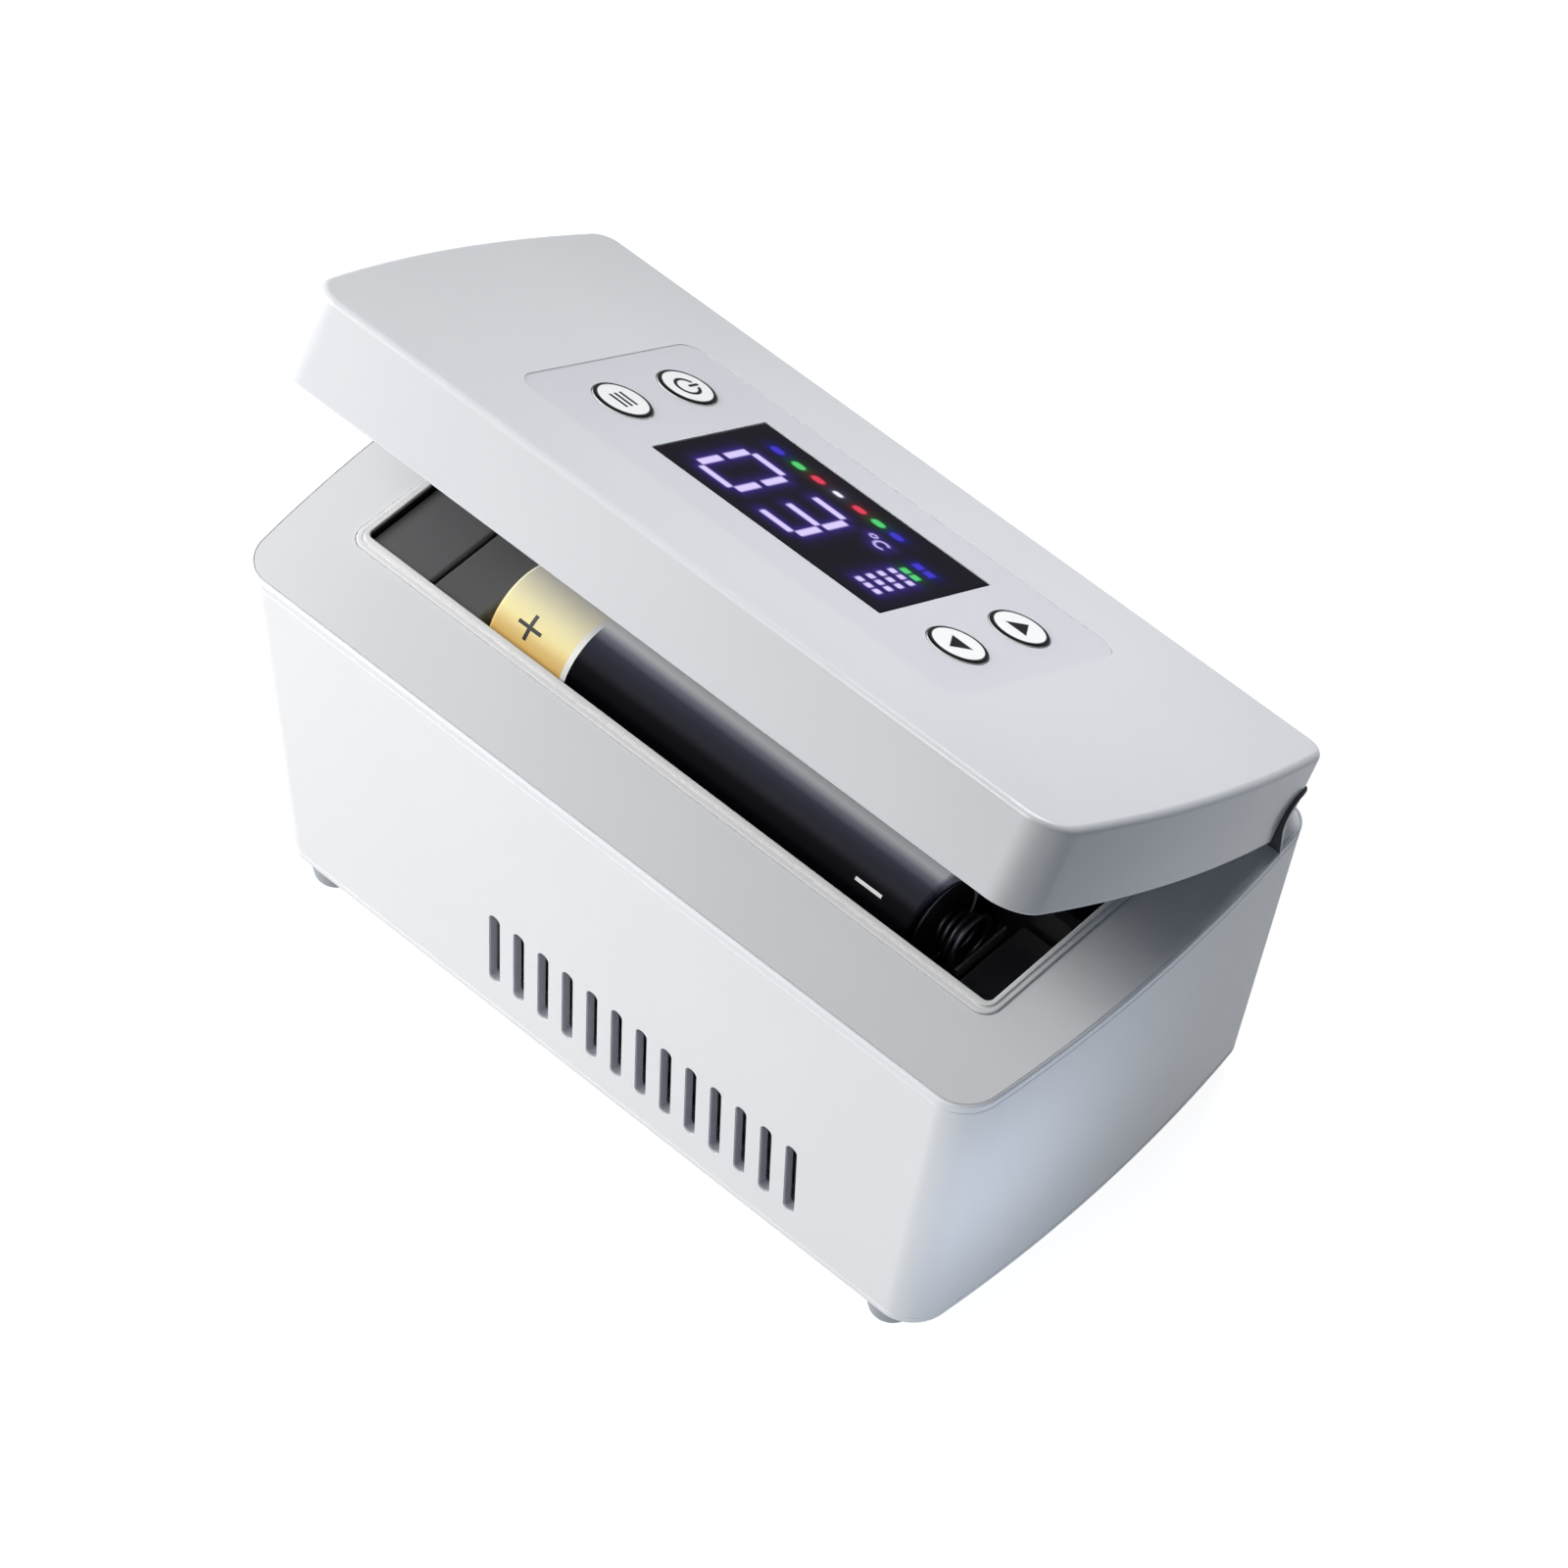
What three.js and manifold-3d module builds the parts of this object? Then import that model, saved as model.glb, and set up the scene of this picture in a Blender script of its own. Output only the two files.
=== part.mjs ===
// Insulin cooling case: a small thermoelectric cool box with a hinged lid, shown with the lid half open.
// Millimetres, +Z up. X runs along the case, the front looks along -Y, and z = 0 is the table.
import * as THREE from 'three';
import { mergeVertices } from 'three/addons/utils/BufferGeometryUtils.js';
import Module from 'manifold-3d';

const wasm = await Module();
wasm.setup();

// Clearances
const FIT_GAP = 0.3; // between pieces that fit into each other
const OVERRUN = 5; // how far every cut runs past what it cuts
const WELD_DISTANCE = 0.0001; // points nearer than this are one point

// Body
const CASE_LENGTH = 208;
const CASE_DEPTH = 103.6;
const BODY_HEIGHT = 84.5; // from the bottom edge to the deck
const END_BULGE = 3.75; // how far each end bows out between its corners
const END_LEAN = 9.25; // how much shorter each end is at the bottom
const FRONT_CORNER_RADIUS = 8;
const REAR_CORNER_RADIUS = 5;
const LEAST_CORNER_RADIUS = 1;
const BODY_WALL = 2.4;
const BASE_PLATE = 2;
const DECK_PLATE = 2.6;
const SEAM_CHAMFER = 0.35; // both edges of a parting line
const DECK_EDGE_RADIUS = 1;
const LIP_THICKNESS = 1.6; // inner lips of the base and the deck
const LIP_HEIGHT = 4;
const DECK_SKIRT = 5;

// Feet
const FOOT_HEIGHT = 7;
const FOOT_TOP_RADIUS = 6;
const FOOT_SOLE_RADIUS = 5;
const FOOT_SOLE_CHAMFER = 0.8;
const FOOT_END_INSET = 24; // deck's end to a foot's middle
const FOOT_SIDE_INSET = 6.8; // body's side to a foot's middle

// Vent slots, in the front and rear walls
const SLOT_PITCH = 6.94;
const SLOT_WIDTH = 3.1;
const SLOT_LENGTH = 22.3;
const SLOT_RISE = 10.1; // bottom edge of the body to the slots
const VENT_X = 15; // middle of the row, and of the fan and heat sink
const BAFFLE_PLATE = 0.8;
const BAFFLE_STANDOFF = 3;
const BAFFLE_MARGIN = 2.2;
const BAFFLE_RIM = 0.9;

// Screws that hold the base
const SCREW_END_INSET = 34; // deck's end to a screw
const SCREW_SIDE_INSET = 10.3; // body's side to a screw
const SCREW_SHANK_RADIUS = 1.5;
const SCREW_HEAD_RADIUS = 2.9;
const SCREW_HEAD_HEIGHT = 2.2;
const SCREW_RECESS_DEPTH = 1.2;
const SCREW_RECESS_WIDTH = 0.9;
const SCREW_GRIP = 11; // length of the shank in its post
const POST_RADIUS = 3.8;
const BOSS_RADIUS = 5;
const BOSS_HEIGHT = 4;
const HEAD_POCKET = 3.6;
const POST_HEIGHT = 28;
const POST_RIB = 1.6;

// Hinge
const RIDGE_RADIUS = 5.8; // round back of the body, about the hinge line
const HINGE_RISE = 6; // deck to the hinge line
const RIDGE_GAP = 0.4; // ridge to the lid's notch
const KNUCKLE_END_INSET = 44; // deck's end to a knuckle's middle
const KNUCKLE_LENGTH = 22;
const KNUCKLE_RADIUS = 5.4;
const NECK_HALF_DEPTH = 3.2;
const POCKET_DROP = 4.6; // hinge line to the floor behind a knuckle
const PIN_RADIUS = 1.5;
const PIN_SEAT = 9; // length of the pin in the ridge at each end
const LID_OPEN_DEGREES = 31.5;

// Well in the deck
const WELL_LEFT_MARGIN = 18.1; // deck's ends and sides to the well
const WELL_RIGHT_MARGIN = 19;
const WELL_FRONT_MARGIN = 23.7;
const WELL_REAR_MARGIN = 22.8;
const WELL_CORNER_RADIUS = 1.5;
const TRIM_END_WIDTH = 2.3;
const TRIM_SIDE_WIDTH = 3.1;
const TRIM_HEIGHT = 0.8;
const LINER_WALL = 1.5;
const LINER_FLANGE = 4;
const LINER_FLANGE_THICKNESS = 1.6;
const CELL_LANE_DEPTH = 19;
const CELL_LANE_WIDTH = 25.4;
const LANE_PARTITION = 2.4;
const LANE_FLOOR = 1.6;

// Pen tray
const TRAY_LEDGE = 1.5;
const TRAY_RIM_DROP = 3.8; // deck to the top of the tray's rim
const TRAY_SHEET = 1.2;
const TRAY_DEPTH = 33; // deck to the underside of the tray
const TRAY_CORNER_RADIUS = 3;

// Battery
const CELL_LEFT_ROOM = 32.9; // for the cover and the contact block
const CELL_RIGHT_ROOM = 23; // for the spring and its block
const CELL_RADIUS = 12;
const CELL_SHOULDER = 1;
const CELL_DROP = 6.5; // deck to the cell's axis
const CAP_RADIUS = 3.6;
const CAP_HEIGHT = 1.4;
const NEGATIVE_CAP_RADIUS = 9.5;
const NEGATIVE_CAP_HEIGHT = 0.5;
const CONTACT_SHEET = 0.6;
const CONTACT_WIDTH = 15;
const CONTACT_HEIGHT = 13;
const COVER_LENGTH = 16.6;
const COVER_DROP = 1.4; // deck to the cover's top
const BLOCK_STEP = 0.8; // cover's top to the contact block's top
const BLOCK_EDGE_RADIUS = 0.8;
const END_BLOCK_DROP = 9; // deck to the top of the block at the negative end
const SPRING_TURNS = 4;
const SPRING_WIRE_RADIUS = 0.5;
const SPRING_SMALL_RADIUS = 3.4;
const SPRING_LARGE_RADIUS = 7;
const SPRING_LENGTH = 9;
const SPRING_STEPS_PER_TURN = 14;
const SPRING_SIDES = 5;

// Cooling
const FAN_SIZE = 50;
const FAN_THICKNESS = 10;
const FAN_STANDOFF = 1;
const FAN_BOSS_RADIUS = 3.4;
const FAN_BORE_RADIUS = 23.4;
const FAN_CORNER_RADIUS = 3;
const FAN_HOLE_RADIUS = 1.7;
const FAN_HOLE_SPACING = 42;
const FAN_HUB_RADIUS = 11.5;
const FAN_STATOR_HEIGHT = 1.6;
const FAN_STRUT_WIDTH = 2.4;
const FAN_SHAFT_RADIUS = 1.2;
const FAN_BLADES = 7;
const FAN_TIP_GAP = 0.8;
const FAN_BLADE_CHORD = 9;
const FAN_BLADE_THICKNESS = 1;
const FAN_BLADE_PITCH_DEGREES = 40;
const FAN_HUB_GAP = 0.6;
const INTAKE_RADIUS = 22;
const INTAKE_SLOT_WIDTH = 2.2;
const INTAKE_PITCH = 4.6;
const SINK_OVERHANG = 3.36; // outermost slot's middle to the sink's end
const SINK_WALL_GAP = 11.4; // wall to the sink, for the screens and the air
const SINK_BASE = 4;
const FIN_THICKNESS = 1.2;
const PELTIER_SIZE = 40;
const PELTIER_THICKNESS = 3.6;
const COLD_BLOCK_DEPTH = 22;
const COLD_BLOCK_HEIGHT = 13.9;
const FOAM_LEFT_REACH = 5.1; // well's ends to the foam's ends
const FOAM_RIGHT_REACH = 5;
const FOAM_FRONT_REACH = 8.7; // pen lane's sides to the foam's sides
const FOAM_REAR_REACH = 8;

// Main board
const BOARD_THICKNESS = 1.6;
const BOARD_END_INSET = 18; // deck's end to the board
const BOARD_SINK_GAP = 6;
const BOARD_WALL_GAP = 13.4;
const BOARD_STANDOFF = 5;
const BOARD_POST_RADIUS = 2.6;
const BOARD_POST_INSET = 4;
const BOARD_CORNER_RADIUS = 2;
const JACK_INSET = 14; // board's right end to the socket's middle
const JACK_WIDTH = 9;
const JACK_HEIGHT = 11;
const JACK_LENGTH = 14;
const JACK_NOSE_RADIUS = 4;
const JACK_BORE_RADIUS = 3;
const JACK_BORE_DEPTH = 10;
const JACK_PIN_RADIUS = 1;
const CAPACITOR_LARGE_RADIUS = 5;
const CAPACITOR_LARGE_HEIGHT = 16;
const CAPACITOR_SMALL_RADIUS = 3.15;
const CAPACITOR_SMALL_HEIGHT = 11;
const CAPACITOR_GROOVE = 0.5;
const INDUCTOR_RADIUS = 6;
const INDUCTOR_HEIGHT = 6;
const INDUCTOR_WAIST = 1.2;
const BUZZER_RADIUS = 6;
const BUZZER_HEIGHT = 8;
const BUZZER_PORT_RADIUS = 1;

// Lid
const LID_HEIGHT = 20.3; // deck to the lid's top when it is shut
const LID_END_SETBACK = 1.3;
const LID_FRONT_OVERHANG = 0.4;
const LID_REAR_REACH = 3.2; // hinge line to the lid's back
const LID_WALL = 2.2;
const LID_SKIN = 2.2;
const LID_EDGE_RADIUS = 1.4;
const LINER_LIFT = 3.1; // deck to the underside of the lid liner
const LID_LINER_PLATE = 2;
const DOME_LIFT = 7.4; // deck to the ceiling over the cell
const DOME_SHEET = 1.5;
const GASKET_WIDTH = 3;
const LID_FOAM_THICKNESS = 0.9;
const LID_POST_END_INSET = 11; // deck's end to a post
const LID_POST_FRONT_INSET = 13.8; // body's front to a post
const LID_POST_REAR_INSET = 7.6; // rear wall of the lid's inside to a post
const LID_POST_RADIUS = 3.2;
const LID_SCREW_RADIUS = 1.3;
const LID_SCREW_HEAD_RADIUS = 2.5;
const LID_SCREW_HEAD_HEIGHT = 1;
const LID_SCREW_LENGTH = 9;

// Panel, display and keys on the lid
const PANEL_X = -0.35;
const PANEL_Y = -1.2;
const PANEL_LENGTH = 117.4;
const PANEL_DEPTH = 60.6;
const PANEL_CORNER_RADIUS = 5;
const PANEL_RECESS = 0.6;
const PANEL_SHEET = 0.45;
const WINDOW_X = 0.15;
const WINDOW_Y = -0.65;
const WINDOW_LENGTH = 60.9;
const WINDOW_DEPTH = 39.8;
const WINDOW_THICKNESS = 1.2;
const WINDOW_LEDGE = 1.6;
const WINDOW_EDGE_GAP = 0.15;
const WINDOW_SINK = 0.2; // lid's top to the window's face
const KEY_SPACING_X = 89.95;
const KEY_SPACING_Y = 22.3;
const KEY_RADIUS = 6.5;
const KEY_PROUD = 0.3; // key's face above the lid's top
const KEY_EDGE_CHAMFER = 0.3;
const KEY_FLANGE_WIDTH = 1.6;
const KEY_FLANGE_HEIGHT = 1;
const KEY_TRAVEL_GAP = 0.9; // key to its switch
const KEY_STEM_RADIUS = 2;
const DISPLAY_BOARD_LENGTH = 112;
const DISPLAY_BOARD_DEPTH = 54;
const DISPLAY_BOARD_LIFT = 10.6; // deck to the board's underside when shut
const BOARD_SUPPORT_RADIUS = 2.4;
const BOARD_SUPPORT_INSET = 3;
const SWITCH_SIZE = 6;
const SWITCH_HEIGHT = 2.4;
const SWITCH_BUTTON_RADIUS = 1.6;
const SWITCH_BUTTON_HEIGHT = 0.6;
const DIGIT_SEGMENT_WIDTH = 2;
const DIGIT_HEIGHT = 18;
const DIGIT_WIDTH = 9;
const DIGIT_SPACING = 17;
const DIGIT_LEFT_X = -18;
const DIGIT_RECESS = 0.5;
const SEGMENT_END_SHARE = 0.8; // of the segment's width, left free at each end of an upright segment

// Facets on round things
const CORNER_STEPS = 5;
const END_STEPS = 8;
const ROUND_STEPS = 24;
const SMALL_ROUND_STEPS = 10;
const SHAPE_STEPS = 2;
const BLOCK_STEPS = 4;

// Levels and places that follow from the sizes above
const bottomZ = FOOT_HEIGHT;
const baseTopZ = bottomZ + BASE_PLATE;
const deckZ = bottomZ + BODY_HEIGHT;
const deckUnderZ = deckZ - DECK_PLATE;
const halfDepth = CASE_DEPTH / 2;
const hingeY = halfDepth - RIDGE_RADIUS;
const hingeZ = deckZ + HINGE_RISE;
const notchRadius = RIDGE_RADIUS + RIDGE_GAP;
const lidBottomZ = deckZ + FIT_GAP;
const lidTopZ = deckZ + LID_HEIGHT;
const skinUnderZ = lidTopZ - LID_SKIN;
const lidRearY = hingeY + LID_REAR_REACH;
const lidCavityRearY = hingeY - notchRadius - LID_WALL;
const fanBottomZ = baseTopZ + FAN_STANDOFF;
const fanTopZ = fanBottomZ + FAN_THICKNESS;
const trayBottomZ = deckZ - TRAY_DEPTH;
const peltierTopZ = trayBottomZ - COLD_BLOCK_HEIGHT;
const sinkTopZ = peltierTopZ - PELTIER_THICKNESS;
const laneFloorZ = deckZ - CELL_LANE_DEPTH;
const linerBottomZ = laneFloorZ - LANE_FLOOR;
const wellLeftX = WELL_LEFT_MARGIN - CASE_LENGTH / 2;
const wellRightX = CASE_LENGTH / 2 - WELL_RIGHT_MARGIN;
const wellFrontY = WELL_FRONT_MARGIN - halfDepth;
const wellRearY = halfDepth - WELL_REAR_MARGIN;
const laneRearY = wellFrontY + CELL_LANE_WIDTH;
const laneY = (wellFrontY + laneRearY) / 2;
const penFrontY = laneRearY + LANE_PARTITION;
const penY = (penFrontY + wellRearY) / 2;
const cellZ = deckZ - CELL_DROP;
const cellLeftX = wellLeftX + CELL_LEFT_ROOM;
const cellRightX = wellRightX - CELL_RIGHT_ROOM;
const boardBottomZ = baseTopZ + BOARD_STANDOFF;
const boardTopZ = boardBottomZ + BOARD_THICKNESS;
const displayBoardZ = deckZ + DISPLAY_BOARD_LIFT;
const displayBoardTopZ = displayBoardZ + BOARD_THICKNESS;
const windowTopZ = lidTopZ - WINDOW_SINK;
const windowBottomZ = windowTopZ - WINDOW_THICKNESS;
const slotBottomZ = bottomZ + SLOT_RISE;
const slotTopZ = slotBottomZ + SLOT_LENGTH;
const innerWallY = halfDepth - BODY_WALL;
const footX = CASE_LENGTH / 2 - FOOT_END_INSET;
const footY = halfDepth - FOOT_SIDE_INSET;
const screwX = CASE_LENGTH / 2 - SCREW_END_INSET;
const screwY = halfDepth - SCREW_SIDE_INSET;
const knuckleX = CASE_LENGTH / 2 - KNUCKLE_END_INSET;

// As many slots as fit between the fan's middle and the right posts, and the same number on its left
const slotRoom = screwX - POST_RADIUS - BAFFLE_MARGIN - SLOT_WIDTH / 2 - VENT_X;
const slotsEachSide = Math.floor(slotRoom / SLOT_PITCH);
const slotCount = 2 * slotsEachSide + 1;
const slotRowHalf = slotsEachSide * SLOT_PITCH;
const sinkHalfLength = slotRowHalf + SINK_OVERHANG;
const sinkHalfDepth = innerWallY - SINK_WALL_GAP;
const boardLeftX = BOARD_END_INSET - CASE_LENGTH / 2;
const boardRightX = VENT_X - sinkHalfLength - BOARD_SINK_GAP;
const boardHalfDepth = innerWallY - BOARD_WALL_GAP;
const jackX = boardRightX - JACK_INSET;
const screwShoulderZ = bottomZ + HEAD_POCKET;
const postFootZ = baseTopZ + BOSS_HEIGHT;
const degrees = Math.PI / 180;

// Materials
const plastic = (color, roughness) => new THREE.MeshStandardMaterial({ color, roughness, metalness: 0 });
const metal = (color, roughness) => new THREE.MeshStandardMaterial({ color, roughness, metalness: 1 });
const whitePlastic = plastic(0xf0f0f1, 0.35);
const deckPlastic = plastic(0xdadbdd, 0.4);
const lidPlastic = plastic(0xe0e2e5, 0.38);
const panelFilm = plastic(0xc5c8cf, 0.45);
const keyPlastic = plastic(0xf4f4f4, 0.4);
const blackPlastic = plastic(0x16171b, 0.4);
const coverPlastic = plastic(0x43454a, 0.45);
const slatePlastic = plastic(0x55585f, 0.6);
const windowGlass = plastic(0x0a0a10, 0.08);
const footRubber = plastic(0xc9cbce, 0.8);
const sealRubber = plastic(0x2a2b2e, 0.85);
const foam = plastic(0xe9e6da, 0.95);
const boardLaminate = plastic(0x1f5a37, 0.5);
const cellSleeve = plastic(0x1b1c26, 0.25);
const ceramic = plastic(0xf1efe9, 0.5);
const steel = metal(0xb9bcc0, 0.3);
const nickel = metal(0xcfcfcb, 0.25);
const aluminium = metal(0xc4c7ca, 0.4);

// Solids: closed meshes that can be joined and cut
function solidOf(geometry) {
  const bare = new THREE.BufferGeometry();
  bare.setAttribute('position', geometry.getAttribute('position'));
  bare.setIndex(geometry.getIndex());
  const merged = mergeVertices(bare, WELD_DISTANCE);
  const corners = merged.getIndex().array;
  const kept = [];
  for (let i = 0; i < corners.length; i += 3) {
    const [a, b, c] = [corners[i], corners[i + 1], corners[i + 2]];
    if (a !== b && b !== c && c !== a) kept.push(a, b, c);
  }
  const vertProperties = new Float32Array(merged.getAttribute('position').array);
  return new wasm.Manifold(new wasm.Mesh({ numProp: 3, vertProperties, triVerts: new Uint32Array(kept) }));
}

function geometryOf(solid) {
  const { vertProperties, triVerts } = solid.getMesh();
  const geometry = new THREE.BufferGeometry();
  geometry.setAttribute('position', new THREE.BufferAttribute(new Float32Array(vertProperties), 3));
  geometry.setIndex(new THREE.BufferAttribute(new Uint32Array(triVerts), 1));
  geometry.computeVertexNormals();
  return geometry;
}

const join = (...solids) => solids.flat().reduce((whole, piece) => whole.add(piece));
const cut = (solid, ...tools) => tools.flat().reduce((rest, tool) => rest.subtract(tool), solid);

function block([x0, x1], [y0, y1], [z0, z1]) {
  const geometry = new THREE.BoxGeometry(x1 - x0, y1 - y0, z1 - z0);
  geometry.translate((x0 + x1) / 2, (y0 + y1) / 2, (z0 + z1) / 2);
  return solidOf(geometry);
}

// A flat shape carried along X, Y or Z. Across X the shape holds (y, z), across Y it holds (x, z).
const carryFrames = {
  x: new THREE.Matrix4().makeBasis(
    new THREE.Vector3(0, 1, 0), new THREE.Vector3(0, 0, 1), new THREE.Vector3(1, 0, 0)),
  y: new THREE.Matrix4().makeBasis(
    new THREE.Vector3(1, 0, 0), new THREE.Vector3(0, 0, 1), new THREE.Vector3(0, -1, 0)),
  z: new THREE.Matrix4(),
};

function prism(axis, shape, from, to, curveSegments = SHAPE_STEPS) {
  const geometry = new THREE.ExtrudeGeometry(shape, { depth: to - from, bevelEnabled: false, curveSegments });
  geometry.applyMatrix4(carryFrames[axis]);
  const start = { x: [from, 0, 0], y: [0, to, 0], z: [0, 0, from] }[axis];
  geometry.translate(...start);
  return solidOf(geometry);
}

// A round rod along an axis. The centre gives the two other coordinates, in X, Y, Z order.
function rod(axis, [first, second], from, to, radius, steps = ROUND_STEPS) {
  const circle = new THREE.Shape();
  const points = [];
  for (let i = 0; i < steps; i += 1) {
    const angle = (2 * Math.PI * i) / steps;
    points.push(new THREE.Vector2(first + radius * Math.cos(angle), second + radius * Math.sin(angle)));
  }
  circle.setFromPoints(points);
  return prism(axis, circle, from, to);
}

// A turned solid about a line along Z. The profile is a list of [radius, z].
function turned(profile, [x, y], steps = ROUND_STEPS) {
  const geometry = new THREE.LatheGeometry(profile.map(([r, z]) => new THREE.Vector2(r, z)), steps);
  geometry.rotateX(Math.PI / 2);
  geometry.translate(x, y, 0);
  return solidOf(geometry);
}

function roundedRectangle([x0, x1], [y0, y1], radius) {
  const shape = new THREE.Shape();
  shape.moveTo(x0 + radius, y0);
  shape.lineTo(x1 - radius, y0);
  shape.absarc(x1 - radius, y0 + radius, radius, -Math.PI / 2, 0, false);
  shape.lineTo(x1, y1 - radius);
  shape.absarc(x1 - radius, y1 - radius, radius, 0, Math.PI / 2, false);
  shape.lineTo(x0 + radius, y1);
  shape.absarc(x0 + radius, y1 - radius, radius, Math.PI / 2, Math.PI, false);
  shape.lineTo(x0, y0 + radius);
  shape.absarc(x0 + radius, y0 + radius, radius, Math.PI, 1.5 * Math.PI, false);
  return shape;
}

// The well's outline, grown on every side
function wellOutline(grow) {
  return roundedRectangle([wellLeftX - grow, wellRightX + grow], [wellFrontY - grow, wellRearY + grow],
    WELL_CORNER_RADIUS + grow);
}

// Plan outline: a rounded rectangle whose two ends bow outwards as a parabola across the depth
function planOutline({ halfLength, front, rear, inset }) {
  const endX = halfLength - inset;
  const frontY = front + inset;
  const rearY = rear - inset;
  const frontRadius = Math.max(FRONT_CORNER_RADIUS - inset, LEAST_CORNER_RADIUS);
  const rearRadius = Math.max(REAR_CORNER_RADIUS - inset, LEAST_CORNER_RADIUS);
  const points = [];
  const corner = (x, y, radius, startAngle) => {
    for (let i = 0; i <= CORNER_STEPS; i += 1) {
      const angle = startAngle + (Math.PI / 2) * (i / CORNER_STEPS);
      points.push(new THREE.Vector2(x + radius * Math.cos(angle), y + radius * Math.sin(angle)));
    }
  };
  const end = (x, fromY, toY) => {
    for (let i = 1; i < END_STEPS; i += 1) {
      points.push(new THREE.Vector2(x, fromY + (toY - fromY) * (i / END_STEPS)));
    }
  };
  corner(endX - frontRadius, frontY + frontRadius, frontRadius, -Math.PI / 2);
  end(endX, frontY + frontRadius, rearY - rearRadius);
  corner(endX - rearRadius, rearY - rearRadius, rearRadius, 0);
  corner(rearRadius - endX, rearY - rearRadius, rearRadius, Math.PI / 2);
  end(-endX, rearY - rearRadius, frontY + frontRadius);
  corner(frontRadius - endX, frontY + frontRadius, frontRadius, Math.PI);
  points.forEach((p) => {
    p.x *= 1 - (END_BULGE / halfLength) * (p.y / halfDepth) ** 2;
  });
  return points;
}

// A solid through outlines of equal point counts, each at its height
function loft(sections) {
  const count = sections[0].points.length;
  const position = sections.flatMap(({ points, z }) => points.flatMap((p) => [p.x, p.y, z]));
  const index = [];
  for (let s = 0; s < sections.length - 1; s += 1) {
    for (let i = 0; i < count; i += 1) {
      const next = (i + 1) % count;
      const [a, b] = [s * count + i, s * count + next];
      index.push(a, b, b + count, a, b + count, a + count);
    }
  }
  const top = (sections.length - 1) * count;
  THREE.ShapeUtils.triangulateShape(sections[0].points, []).forEach(([a, b, c]) => index.push(a, c, b));
  THREE.ShapeUtils.triangulateShape(sections.at(-1).points, []).forEach(([a, b, c]) => {
    index.push(top + a, top + b, top + c);
  });
  const geometry = new THREE.BufferGeometry();
  geometry.setAttribute('position', new THREE.BufferAttribute(new Float32Array(position), 3));
  geometry.setIndex(index);
  return solidOf(geometry);
}

// The body's outline at a height: its ends lean in towards the bottom
function bodyLoft(stops) {
  return loft(stops.map(([z, inset]) => ({
    z,
    points: planOutline({
      halfLength: CASE_LENGTH / 2 - (END_LEAN * (deckZ - z)) / BODY_HEIGHT,
      front: -halfDepth,
      rear: halfDepth,
      inset,
    }),
  })));
}

// The lid's outline is upright
function lidLoft(stops) {
  return loft(stops.map(([z, inset]) => ({
    z,
    points: planOutline({
      halfLength: CASE_LENGTH / 2 - LID_END_SETBACK,
      front: -halfDepth - LID_FRONT_OVERHANG,
      rear: lidRearY,
      inset,
    }),
  })));
}

// Heights and insets of a rounded top edge
function roundedEdge(topZ, radius, steps) {
  return Array.from({ length: steps + 1 }, (_, i) => {
    const angle = (Math.PI / 2) * (i / steps);
    return [topZ - radius + radius * Math.sin(angle), radius - radius * Math.cos(angle)];
  });
}

const corners = [[-1, -1], [1, -1], [-1, 1], [1, 1]];
const slotCentres = Array.from({ length: slotCount }, (_, i) => VENT_X - slotRowHalf + i * SLOT_PITCH);
const betweenSlots = slotCentres.slice(1).map((x) => x - SLOT_PITCH / 2);

const cooler = new THREE.Group();
const lidPivot = new THREE.Group();
const lid = new THREE.Group();
lidPivot.position.set(0, hingeY, hingeZ);
lidPivot.rotation.x = -LID_OPEN_DEGREES * degrees;
lid.position.set(0, -hingeY, -hingeZ);
lidPivot.add(lid);
cooler.add(lidPivot);

function place(parent, name, solid, material) {
  const mesh = new THREE.Mesh(geometryOf(solid), material);
  mesh.name = name;
  parent.add(mesh);
}

// Outer housing: a wall shell with vent slots, screw posts and the socket's hole
function outerHousing() {
  const shell = cut(
    bodyLoft([
      [baseTopZ, SEAM_CHAMFER],
      [baseTopZ + SEAM_CHAMFER, 0],
      [deckUnderZ - SEAM_CHAMFER, 0],
      [deckUnderZ, SEAM_CHAMFER],
    ]),
    bodyLoft([[baseTopZ - OVERRUN, BODY_WALL], [deckUnderZ + OVERRUN, BODY_WALL]]),
  );
  const posts = corners.map(([sx, sy]) => {
    const ribY = [sy * screwY, sy * (innerWallY + BODY_WALL / 2)].sort((a, b) => a - b);
    const x = sx * screwX;
    return join(
      rod('z', [x, sy * screwY], postFootZ, postFootZ + POST_HEIGHT, POST_RADIUS, SMALL_ROUND_STEPS),
      block([x - POST_RIB / 2, x + POST_RIB / 2], ribY, [postFootZ, postFootZ + POST_HEIGHT]),
    );
  });
  const bores = corners.map(([sx, sy]) => rod('z', [sx * screwX, sy * screwY], postFootZ - OVERRUN,
    postFootZ + SCREW_GRIP + FIT_GAP, SCREW_SHANK_RADIUS + FIT_GAP, SMALL_ROUND_STEPS));
  const slots = slotCentres.map((x) => prism('y',
    roundedRectangle([x - SLOT_WIDTH / 2, x + SLOT_WIDTH / 2], [slotBottomZ, slotTopZ], SLOT_WIDTH / 2),
    -halfDepth - OVERRUN, halfDepth + OVERRUN));
  const jackHole = rod('y', [jackX, boardTopZ + JACK_HEIGHT / 2], innerWallY - OVERRUN / 2,
    halfDepth + OVERRUN, JACK_NOSE_RADIUS + FIT_GAP, SMALL_ROUND_STEPS);
  return cut(join(shell, posts), bores, slots, jackHole);
}

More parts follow.
